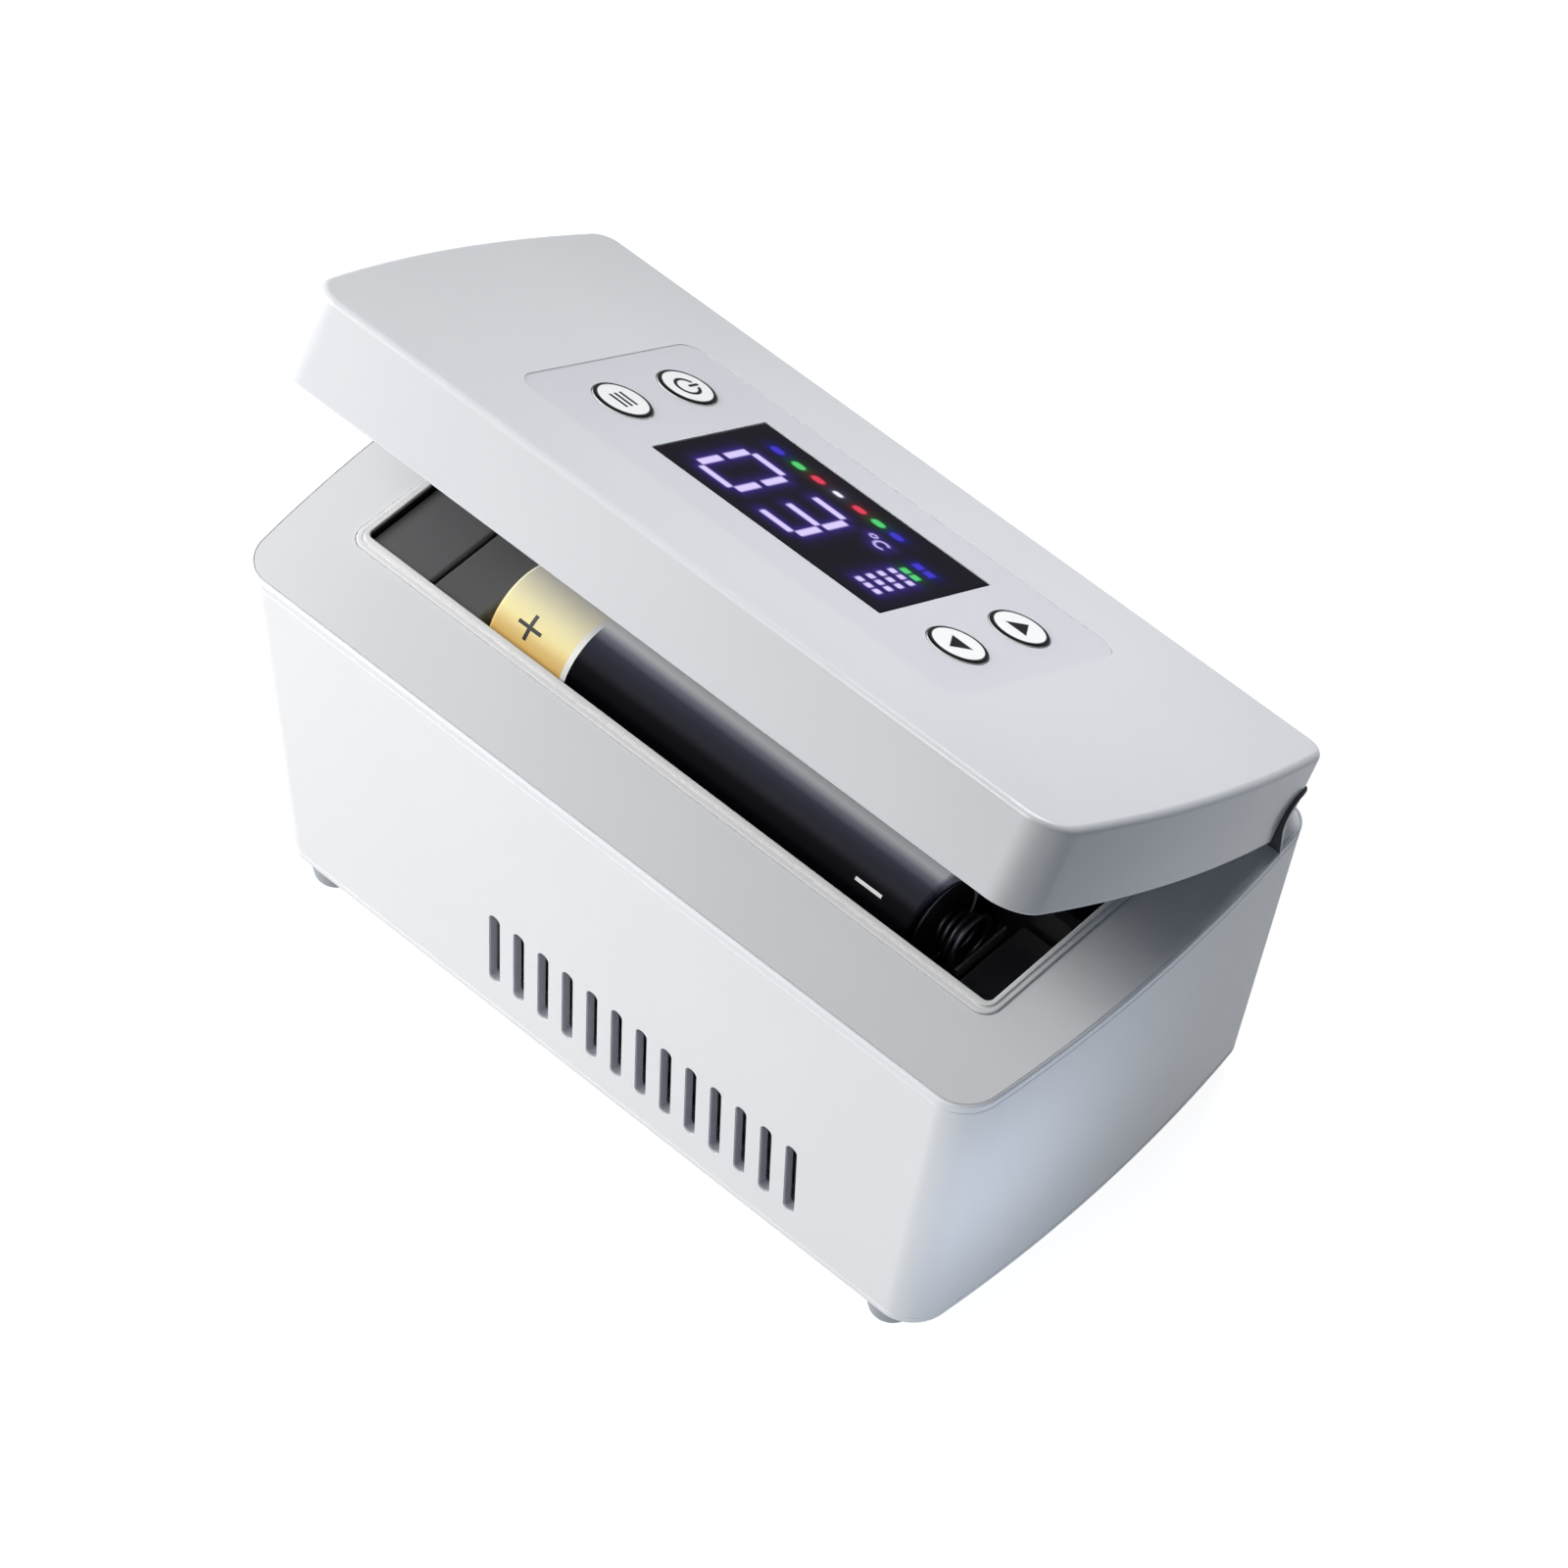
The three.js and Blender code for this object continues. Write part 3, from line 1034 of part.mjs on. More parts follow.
function lidShell() {
  const outer = lidLoft([
    [lidBottomZ, SEAM_CHAMFER],
    [lidBottomZ + SEAM_CHAMFER, 0],
    ...roundedEdge(lidTopZ, LID_EDGE_RADIUS, 4),
  ]);
  const inside = lidLoft([[lidBottomZ - OVERRUN, LID_WALL], [skinUnderZ, LID_WALL]]);
  const cavity = inside.intersect(block([-CASE_LENGTH, CASE_LENGTH], [-CASE_DEPTH, lidCavityRearY],
    [lidBottomZ - OVERRUN, skinUnderZ]));
  const rearCavity = inside.intersect(block([-CASE_LENGTH, CASE_LENGTH],
    [lidCavityRearY - LID_WALL, CASE_DEPTH], [hingeZ + notchRadius + LID_WALL, skinUnderZ]));
  const notch = join(
    prism('x', ridgeShape(notchRadius, lidBottomZ - OVERRUN), -CASE_LENGTH, CASE_LENGTH, CORNER_STEPS * 2),
    block([-CASE_LENGTH, CASE_LENGTH], [hingeY, CASE_DEPTH], [lidBottomZ - OVERRUN, hingeZ + notchRadius]),
  );
  const posts = [
    ...lidPosts.map((at) => rod('z', at, deckZ + LINER_LIFT + LID_LINER_PLATE, skinUnderZ + LID_SKIN / 2,
      LID_POST_RADIUS, SMALL_ROUND_STEPS)),
    ...boardSpanX.flatMap((x) => boardSpanY.map((y) => rod('z',
      [x + (x < PANEL_X ? BOARD_SUPPORT_INSET : -BOARD_SUPPORT_INSET),
        y + (y < WINDOW_Y ? BOARD_SUPPORT_INSET : -BOARD_SUPPORT_INSET)],
      displayBoardTopZ, skinUnderZ + LID_SKIN / 2, BOARD_SUPPORT_RADIUS, SMALL_ROUND_STEPS))),
  ];
  const knuckles = Object.values(knuckleCentres).map((x) => {
    const span = [x - KNUCKLE_LENGTH / 2, x + KNUCKLE_LENGTH / 2];
    return cut(
      join(
        rod('x', [hingeY, hingeZ], ...span, KNUCKLE_RADIUS),
        block(span, [hingeY - NECK_HALF_DEPTH, hingeY + NECK_HALF_DEPTH],
          [hingeZ, hingeZ + notchRadius + LID_WALL / 2]),
      ),
      rod('x', [hingeY, hingeZ], span[0] - OVERRUN, span[1] + OVERRUN, PIN_RADIUS + FIT_GAP,
        SMALL_ROUND_STEPS),
    );
  });
  const screwBores = lidPosts.map(([x, y]) => rod('z', [x, y], deckZ,
    deckZ + LINER_LIFT + LID_SCREW_HEAD_HEIGHT + LID_SCREW_LENGTH + FIT_GAP,
    LID_SCREW_RADIUS + FIT_GAP, SMALL_ROUND_STEPS));
  const aboveZ = lidTopZ + OVERRUN;
  const belowZ = skinUnderZ - OVERRUN / 2;
  const recess = prism('z', panelOutline(0), lidTopZ - PANEL_RECESS, aboveZ);
  const pocket = prism('z', windowOutline(WINDOW_EDGE_GAP), windowBottomZ, aboveZ);
  const view = prism('z', windowOutline(-WINDOW_LEDGE), belowZ, aboveZ);
  const keyHoles = Object.values(keyPlaces).map((at) => rod('z', at, belowZ, aboveZ, KEY_RADIUS + FIT_GAP));
  return cut(join(cut(outer, cavity, rearCavity, notch), posts, knuckles),
    screwBores, recess, pocket, view, keyHoles);
}

function controlPanel() {
  const bottom = lidTopZ - PANEL_RECESS;
  const top = bottom + PANEL_SHEET;
  const reach = [bottom - OVERRUN, top + OVERRUN];
  return cut(
    prism('z', panelOutline(-WINDOW_EDGE_GAP), bottom, top),
    prism('z', windowOutline(WINDOW_EDGE_GAP), ...reach),
    Object.values(keyPlaces).map((at) => rod('z', at, ...reach, KEY_RADIUS + FIT_GAP)),
  );
}

function displayWindow() {
  return prism('z', windowOutline(0), windowBottomZ, windowTopZ);
}

const switchTopZ = displayBoardTopZ + SWITCH_HEIGHT + SWITCH_BUTTON_HEIGHT;

// Key: a round cap in the panel's hole, a flange under the lid's skin and a stem over the switch
function key([x, y]) {
  const flangeTopZ = skinUnderZ - FIT_GAP;
  const flangeZ = flangeTopZ - KEY_FLANGE_HEIGHT;
  const faceZ = lidTopZ + KEY_PROUD;
  return turned([
    [0, switchTopZ + KEY_TRAVEL_GAP],
    [KEY_STEM_RADIUS, switchTopZ + KEY_TRAVEL_GAP],
    [KEY_STEM_RADIUS, flangeZ],
    [KEY_RADIUS + KEY_FLANGE_WIDTH, flangeZ],
    [KEY_RADIUS + KEY_FLANGE_WIDTH, flangeTopZ],
    [KEY_RADIUS, flangeTopZ],
    [KEY_RADIUS, faceZ - KEY_EDGE_CHAMFER],
    [KEY_RADIUS - KEY_EDGE_CHAMFER, faceZ],
    [0, faceZ],
  ], [x, y]);
}

function tactSwitch([x, y]) {
  const half = SWITCH_SIZE / 2;
  return join(
    block([x - half, x + half], [y - half, y + half], [displayBoardTopZ, displayBoardTopZ + SWITCH_HEIGHT]),
    rod('z', [x, y], displayBoardTopZ, switchTopZ, SWITCH_BUTTON_RADIUS, SMALL_ROUND_STEPS),
  );
}

function displayBoard() {
  return prism('z', roundedRectangle(boardSpanX, boardSpanY, BOARD_CORNER_RADIUS),
    displayBoardZ, displayBoardTopZ);
}

// Digit module: a block behind the window, with a recess for each segment of two digits
function digitModule() {
  const top = windowBottomZ - FIT_GAP;
  const body = prism('z', windowOutline(-WINDOW_LEDGE - FIT_GAP), displayBoardTopZ, top);
  const half = DIGIT_SEGMENT_WIDTH / 2;
  const reach = [top - DIGIT_RECESS, top + OVERRUN];
  const segments = [0, 1].flatMap((digit) => {
    const x = DIGIT_LEFT_X + digit * DIGIT_SPACING;
    const level = [-1, 0, 1].map((row) => {
      const y = WINDOW_Y + (row * DIGIT_HEIGHT) / 2;
      return block([x - DIGIT_WIDTH / 2 + half, x + DIGIT_WIDTH / 2 - half], [y - half, y + half], reach);
    });
    const upright = corners.map(([sx, sy]) => {
      const px = x + (sx * DIGIT_WIDTH) / 2;
      const py = WINDOW_Y + (sy * DIGIT_HEIGHT) / 4;
      const rise = DIGIT_HEIGHT / 4 - DIGIT_SEGMENT_WIDTH * SEGMENT_END_SHARE;
      return block([px - half, px + half], [py - rise, py + rise], reach);
    });
    return [...level, ...upright];
  });
  return cut(body, segments);
}

// Lid liner: a plate with a raised dome that clears the cell
function lidLiner() {
  const bottom = deckZ + LINER_LIFT;
  const inset = LID_WALL + FIT_GAP;
  const plateTopZ = bottom + LID_LINER_PLATE;
  const plate = lidLoft([[bottom, inset], [plateTopZ, inset]]).intersect(
    block([-CASE_LENGTH, CASE_LENGTH], [-CASE_DEPTH, lidCavityRearY - FIT_GAP], [bottom, plateTopZ]));
  const dome = prism('z', wellOutline(DOME_SHEET), bottom, deckZ + DOME_LIFT + DOME_SHEET);
  const hollow = prism('z', wellOutline(0), bottom - OVERRUN, deckZ + DOME_LIFT);
  const screwHoles = lidPosts.map((at) => join(
    rod('z', at, bottom - OVERRUN, bottom + LID_SCREW_HEAD_HEIGHT, LID_SCREW_HEAD_RADIUS + FIT_GAP,
      SMALL_ROUND_STEPS),
    rod('z', at, bottom - OVERRUN, bottom + OVERRUN, LID_SCREW_RADIUS + FIT_GAP, SMALL_ROUND_STEPS),
  ));
  return cut(join(plate, dome), hollow, screwHoles);
}

function lidFoam() {
  const bottom = deckZ + DOME_LIFT + DOME_SHEET;
  return prism('z', wellOutline(0), bottom, bottom + LID_FOAM_THICKNESS);
}

// Assembly of the body
place(cooler, 'outer_housing', outerHousing(), whitePlastic);
place(cooler, 'base_tray', baseTray(), whitePlastic);
const footNames = ['foot_front_left', 'foot_front_right', 'foot_rear_left', 'foot_rear_right'];
corners.forEach((corner, i) => {
  place(cooler, footNames[i], foot(corner), footRubber);
  place(cooler, `base_screw_${i + 1}`, screw([corner[0] * screwX, corner[1] * screwY], screwShoulderZ, {
    headRadius: SCREW_HEAD_RADIUS,
    headHeight: SCREW_HEAD_HEIGHT,
    shankRadius: SCREW_SHANK_RADIUS,
    length: postFootZ - screwShoulderZ + SCREW_GRIP,
  }), steel);
});
place(cooler, 'top_deck', topDeck(), deckPlastic);
Object.entries(knuckleCentres).forEach(([side, x]) => place(cooler, `hinge_pin_${side}`, hingePin(x), steel));
place(cooler, 'compartment_trim',
  wellRing(0, TRIM_END_WIDTH, TRIM_SIDE_WIDTH, [deckZ, deckZ + TRIM_HEIGHT]), whitePlastic);
place(cooler, 'well_liner', wellLiner(), blackPlastic);
place(cooler, 'vent_baffle_front', ventBaffle(-1), slatePlastic);
place(cooler, 'vent_baffle_rear', ventBaffle(1), slatePlastic);

// Assembly of the cooling parts and the electronics
place(cooler, 'pen_tray', penTray(), aluminium);
place(cooler, 'insulation_foam', insulationFoam(), foam);
place(cooler, 'cold_block', coldBlock(), aluminium);
place(cooler, 'peltier_module', peltierModule(), ceramic);
place(cooler, 'heat_sink', heatSink(), aluminium);
place(cooler, 'fan_frame', fanFrame(), blackPlastic);
place(cooler, 'fan_rotor', fanRotor(), blackPlastic);
place(cooler, 'main_board', mainBoard(), boardLaminate);
place(cooler, 'dc_jack', dcJack(), blackPlastic);
const boardMiddleX = (boardLeftX + boardRightX) / 2;
place(cooler, 'capacitor_large', capacitor([boardMiddleX, -boardHalfDepth / 2],
  CAPACITOR_LARGE_RADIUS, CAPACITOR_LARGE_HEIGHT), blackPlastic);
place(cooler, 'capacitor_small', capacitor([boardMiddleX, 0],
  CAPACITOR_SMALL_RADIUS, CAPACITOR_SMALL_HEIGHT), blackPlastic);
place(cooler, 'inductor', inductor([boardMiddleX, boardHalfDepth / 3]), coverPlastic);
place(cooler, 'buzzer', buzzer([boardRightX - BUZZER_RADIUS * 2, -boardHalfDepth / 3]), blackPlastic);

// Assembly of the cell's lane
place(cooler, 'battery_cell', batteryCell(), cellSleeve);
place(cooler, 'battery_positive_cap', alongX([
  [0, positiveCapX],
  [CAP_RADIUS, positiveCapX],
  [CAP_RADIUS, cellLeftX],
  [0, cellLeftX],
]), nickel);
place(cooler, 'battery_negative_cap', alongX([
  [0, cellRightX - NEGATIVE_CAP_HEIGHT],
  [NEGATIVE_CAP_RADIUS, cellRightX - NEGATIVE_CAP_HEIGHT],
  [NEGATIVE_CAP_RADIUS, cellRightX],
  [0, cellRightX],
]), nickel);
place(cooler, 'terminal_cover',
  laneBlock([wellLeftX + FIT_GAP, coverRightX], deckZ - COVER_DROP), coverPlastic);
place(cooler, 'contact_block', laneBlock([coverRightX + FIT_GAP, positiveContactX - FIT_GAP],
  deckZ - COVER_DROP - BLOCK_STEP), coverPlastic);
place(cooler, 'positive_contact', contactPlate(positiveContactX), nickel);
place(cooler, 'negative_spring', negativeSpring(), nickel);
place(cooler, 'negative_contact', contactPlate(negativeContactX), nickel);
place(cooler, 'negative_contact_block', laneBlock(
  [negativeContactX + CONTACT_SHEET + FIT_GAP, wellRightX - FIT_GAP], deckZ - END_BLOCK_DROP), blackPlastic);

// Assembly of the lid
place(lid, 'lid_shell', lidShell(), lidPlastic);
place(lid, 'control_panel', controlPanel(), panelFilm);
place(lid, 'display_window', displayWindow(), windowGlass);
place(lid, 'display_board', displayBoard(), boardLaminate);
place(lid, 'digit_module', digitModule(), blackPlastic);
place(lid, 'lid_liner', lidLiner(), blackPlastic);
place(lid, 'lid_foam', lidFoam(), foam);
place(lid, 'lid_gasket', wellRing(FIT_GAP, GASKET_WIDTH, GASKET_WIDTH,
  [deckZ + TRIM_HEIGHT + FIT_GAP, deckZ + LINER_LIFT]), sealRubber);
Object.entries(keyPlaces).forEach(([name, at], i) => {
  place(lid, `key_${name}`, key(at), keyPlastic);
  place(lid, `tact_switch_${i + 1}`, tactSwitch(at), blackPlastic);
});
lidPosts.forEach((at, i) => {
  place(lid, `lid_screw_${i + 1}`, screw(at, deckZ + LINER_LIFT + LID_SCREW_HEAD_HEIGHT, {
    headRadius: LID_SCREW_HEAD_RADIUS,
    headHeight: LID_SCREW_HEAD_HEIGHT,
    shankRadius: LID_SCREW_RADIUS,
    length: LID_SCREW_LENGTH,
  }), steel);
});

// The origin is under the middle of the whole object, open lid included
cooler.updateMatrixWorld(true);
const reach = new THREE.Box3().setFromObject(cooler, true);
cooler.position.y = -(reach.min.y + reach.max.y) / 2;

export default cooler;
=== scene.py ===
"""Insulin cooling case with its lid held open, dressed for the camera.

Lengths in the classes are millimetres in the drawing frame: the lid is shut, X runs along the case,
the front looks towards -Y and z = 0 is the table. Meshes are written in metres in the row frame,
where the lid's pieces are turned open about the hinge line.
"""

import logging
import math
from collections.abc import Iterable, Sequence
from dataclasses import dataclass, field
from enum import Enum

import bpy
import numpy as np
from mathutils import Matrix, Vector


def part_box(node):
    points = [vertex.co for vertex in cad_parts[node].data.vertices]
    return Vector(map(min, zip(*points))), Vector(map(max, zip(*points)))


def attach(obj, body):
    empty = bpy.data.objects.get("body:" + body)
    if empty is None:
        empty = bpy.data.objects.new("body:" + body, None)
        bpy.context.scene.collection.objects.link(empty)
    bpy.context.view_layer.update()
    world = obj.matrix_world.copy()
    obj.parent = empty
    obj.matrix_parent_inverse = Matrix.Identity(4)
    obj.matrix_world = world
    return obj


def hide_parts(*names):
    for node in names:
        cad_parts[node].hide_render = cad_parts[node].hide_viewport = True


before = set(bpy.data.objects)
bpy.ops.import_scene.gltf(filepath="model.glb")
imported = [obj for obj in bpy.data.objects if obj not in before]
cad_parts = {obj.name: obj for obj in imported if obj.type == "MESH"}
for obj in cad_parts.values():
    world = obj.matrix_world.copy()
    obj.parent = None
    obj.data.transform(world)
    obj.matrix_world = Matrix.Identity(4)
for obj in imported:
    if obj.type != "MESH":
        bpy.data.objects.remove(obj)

log = logging.getLogger("cooling_case")

Pair = tuple[float, float]
Place = tuple[float, float, float]
Tree = bpy.types.NodeTree
Socket = bpy.types.NodeSocket

MILLIMETRE = 0.001
SHARP_EDGE = math.radians(32)


class Drawn(Enum):
    """The group that a piece is drawn in, named as the body that most of its pieces ride on."""

    CASE = "case"
    LID = "lid"


class Tint(Enum):
    """Colours of the lights behind the window: the light itself and its halo."""

    VIOLET = ("#DCCEFF", "#4A2FB0")
    WHITE = ("#F4F1FF", "#5A5670")
    BLUE = ("#3A30C8", "#1B1690")
    GREEN = ("#4FD070", "#0F5A26")
    RED = ("#E03A54", "#6A1020")


@dataclass(frozen=True)
class Sizes:
    """Sizes that several pieces share. The overrun is how far a cutter reaches past what it cuts."""

    half_length: float = 103.96
    half_depth: float = 51.8
    front_corner: float = 8.0
    rear_corner: float = 5.0
    end_bulge: float = 3.75
    end_lean: float = 9.25
    body_height: float = 84.5
    bottom_z: float = 7.0
    base_top_z: float = 9.0
    lip_rise: float = 4.0
    deck_under_z: float = 88.9
    deck_z: float = 91.5
    wall: float = 2.4
    lip_wall: float = 1.6
    seam: float = 0.35
    fit: float = 0.3
    overrun: float = 5.0
    hinge: Pair = (46.0, 97.5)
    ridge_radius: float = 5.8
    notch_radius: float = 6.2
    bore_radius: float = 1.8
    hinge_facets: int = 96
    lid_open_degrees: float = 31.5
    knuckle_x: Pair = (-60.0, 60.0)
    knuckle_length: float = 22.0
    well_x: Pair = (-85.9, 85.0)
    well_y: Pair = (-28.1, 29.0)
    well_corner: float = 1.5
    lane_rear_y: float = -2.7
    lane_y: float = -15.4
    lane_floor_z: float = 72.5
    cell_z: float = 85.0
    post_x: float = 70.0
    post_y: float = 41.5
    vent_x: float = 15.0


SIZES = Sizes()
CORNERS = ((-1, -1), (1, -1), (-1, 1), (1, 1))


def linear(colour: str) -> tuple[float, float, float, float]:
    """Turns an sRGB hex value into linear light.

    Args:
        colour: "#RRGGBB".

    Returns:
        Red, green, blue and an alpha of 1.
    """
    value = np.array([int(colour[i : i + 2], 16) for i in (1, 3, 5)]) / 255
    light = np.where(value <= 0.04045, value / 12.92, ((value + 0.055) / 1.055) ** 2.4)
    return (float(light[0]), float(light[1]), float(light[2]), 1.0)


def add(tree: Tree, kind: str, settings: dict | None = None, links: dict | None = None) -> bpy.types.Node:
    """Adds a node with its settings and links.

    Args:
        tree: The node tree.
        kind: The node's type name.
        settings: Socket names or numbers with values, or the node's own properties. "stops" holds the
            (place, hex colour) pairs of a colour ramp.
        links: Socket names or numbers with the output sockets that feed them.

    Returns:
        The new node.
    """
    node = tree.nodes.new(kind)
    for key, value in (settings or {}).items():
        if key == "stops":
            ramp = node.color_ramp
            while len(ramp.elements) < len(value):
                ramp.elements.new(1.0)
            for element, (place, colour) in zip(ramp.elements, value):
                element.position = place
                element.color = linear(colour)
        elif isinstance(key, int) or key in node.inputs:
            node.inputs[key].default_value = value
        else:
            setattr(node, key, value)
    for key, socket in (links or {}).items():
        tree.links.new(socket, node.inputs[key])
    return node


@dataclass(frozen=True)
class Finish:
    """A moulded or sheet finish: a two-tone colour, a fine grain in its relief and uneven gloss.

    The grain, the relief and the cloud, the size of the colour's patches, are in millimetres.
    """

    name: str
    colour: str
    shade: str
    roughness: float
    grain: float = 0.4
    relief: float = 0.006
    uneven: float = 0.05
    cloud: float = 38.0
    metallic: float = 0.0
    coat: float = 0.0
    ior: float = 1.46
    stretch: Place = (1.0, 1.0, 1.0)

    def base(self, tree: Tree, place: Socket) -> Socket:
        """Mixes the two tones with a broad, soft noise.

        Args:
            tree: The material's node tree.
            place: The coordinates' socket.

        Returns:
            The colour's socket.
        """
        soft = {"Scale": 1 / (self.cloud * MILLIMETRE), "Detail": 2.0}
        broad = add(tree, "ShaderNodeTexNoise", soft, {"Vector": place})
        tones = {"data_type": "RGBA", 6: linear(self.colour), 7: linear(self.shade)}
        return add(tree, "ShaderNodeMix", tones, {0: broad.outputs[0]}).outputs[2]

    def extra(self, tree: Tree, shader: bpy.types.Node) -> None:
        """Adds what only this kind of finish has; a plain finish has nothing more."""

    def material(self) -> bpy.types.Material:
        """Builds the material.

        Returns:
            The material, with its colour, gloss and relief worked out from Object coordinates.
        """
        made = bpy.data.materials.new(self.name)
        made.use_nodes = True
        tree = made.node_tree
        shader = tree.nodes["Principled BSDF"]
        place = add(tree, "ShaderNodeTexCoord").outputs["Object"]
        tree.links.new(self.base(tree, place), shader.inputs["Base Color"])
        stretched = add(tree, "ShaderNodeMapping", {"Scale": self.stretch}, {"Vector": place})
        grain = {"Scale": 1 / (self.grain * MILLIMETRE), "Detail": 3.0, "Roughness": 0.6}
        fine = add(tree, "ShaderNodeTexNoise", grain, {"Vector": stretched.outputs[0]}).outputs[0]
        span = {"To Min": self.roughness - self.uneven, "To Max": self.roughness + self.uneven}
        gloss = add(tree, "ShaderNodeMapRange", span, {"Value": fine})
        tree.links.new(gloss.outputs[0], shader.inputs["Roughness"])
        relief = {"Strength": 1.0, "Distance": self.relief * MILLIMETRE}
        bump = add(tree, "ShaderNodeBump", relief, {"Height": fine})
        tree.links.new(bump.outputs[0], shader.inputs["Normal"])
        shader.inputs["Metallic"].default_value = self.metallic
        if self.metallic < 1:
            shader.inputs["IOR"].default_value = self.ior
        shader.inputs["Coat Weight"].default_value = self.coat
        self.extra(tree, shader)
        return made


@dataclass(frozen=True)
class PrintedSleeve(Finish):
    """Shrink sleeve of a cell: a gold band, a white ring and a black body.

    The bands follow X: the sleeve's printed film is cut square, so each edge is a ring. Across the cell
    the gold and the black print carry painted light: a painted highlight at the crown and painted shade
    deepening towards the front.
    """

    gold_stop_x: float = -33.0
    ring_stop_x: float = -31.6
    # Across the cell: where the painted highlight is brightest and where the painted shade is deepest.
    painted_highlight_y: float = -12.0
    painted_shade_y: float = -29.0
    ring: str = "#F8F7F3"
    # Gold print, pale as a painted highlight at the crown and amber as painted shade towards the front.
    gold_print_and_painted_light: tuple[tuple[float, str], ...] = (
        (0.0, "#FFFFF8"),
        (0.35, "#FFF9DC"),
        (0.76, "#FBEFB2"),
        (1.0, "#F0BC62"),
    )
    # Black print, with a painted white highlight at the crown and painted shade deepening towards the front.
    black_print_and_painted_light: tuple[tuple[float, str], ...] = (
        (0.0, "#FAFBFF"),
        (0.24, "#F8FAFF"),
        (0.36, "#8E92A0"),
        (0.47, "#464955"),
        (0.62, "#2A2B36"),
        (0.78, "#08080D"),
        (1.0, "#050509"),
    )

    def beyond(self, tree: Tree, along: Socket, x: float) -> Socket:
        """A socket of 0 before an edge of the print, at x millimetres, and 1 beyond it."""
        edge = {"operation": "GREATER_THAN", 1: x * MILLIMETRE}
        return add(tree, "ShaderNodeMath", edge, {0: along}).outputs[0]

    def base(self, tree: Tree, place: Socket) -> Socket:
        """Gives each band its print colour by the distance along X, with a painted highlight at the crown and
        painted shade towards the front by the distance across the cell.

        Args:
            tree: The material's node tree.
            place: The coordinates' socket.

        Returns:
            The colour's socket.
        """
        along, over, _ = add(tree, "ShaderNodeSeparateXYZ", {}, {0: place}).outputs
        # Share across the cell, from the painted highlight at the crown to the painted shade at the front.
        span = {"From Min": self.painted_highlight_y * MILLIMETRE, "From Max": self.painted_shade_y * MILLIMETRE}
        across = add(tree, "ShaderNodeMapRange", span, {"Value": over}).outputs[0]
        gold, dark = (
            add(tree, "ShaderNodeValToRGB", {"stops": stops}, {0: across}).outputs[0]
            for stops in (self.gold_print_and_painted_light, self.black_print_and_painted_light)
        )
        ring = {"data_type": "RGBA", 7: linear(self.ring)}
        start = {0: self.beyond(tree, along, self.gold_stop_x), 6: gold}
        ringed = add(tree, "ShaderNodeMix", ring, start).outputs[2]
        rest = {0: self.beyond(tree, along, self.ring_stop_x), 6: ringed, 7: dark}
        return add(tree, "ShaderNodeMix", {"data_type": "RGBA"}, rest).outputs[2]


@dataclass(frozen=True)
class InkedFinish(Finish):
    """A pale plastic with printed signs: the mesh's "ink" attribute says how much ink lies there."""

    ink: str = "#050506"

    def base(self, tree: Tree, place: Socket) -> Socket:
        """Lays the ink's colour over the plastic's.

        Args:
            tree: The material's node tree.
            place: The coordinates' socket.

        Returns:
            The colour's socket.
        """
        bare = super().base(tree, place)
        amount = add(tree, "ShaderNodeAttribute", {"attribute_name": "ink"}).outputs["Fac"]
        ink = {"data_type": "RGBA", 7: linear(self.ink)}
        return add(tree, "ShaderNodeMix", ink, {0: amount, 6: bare}).outputs[2]


@dataclass(frozen=True)
class LitWindow(Finish):
    """Smoked acrylic over lights: near black and glossy, and it glows by its "glow" attribute."""

    brightness: float = 1.0

    def extra(self, tree: Tree, shader: bpy.types.Node) -> None:
        """Feeds the glow into the shader's emission.

        Args:
            tree: The material's node tree.
            shader: The shader.
        """
        glow = add(tree, "ShaderNodeAttribute", {"attribute_name": "glow"})
        tree.links.new(glow.outputs["Color"], shader.inputs["Emission Color"])
        shader.inputs["Emission Strength"].default_value = self.brightness


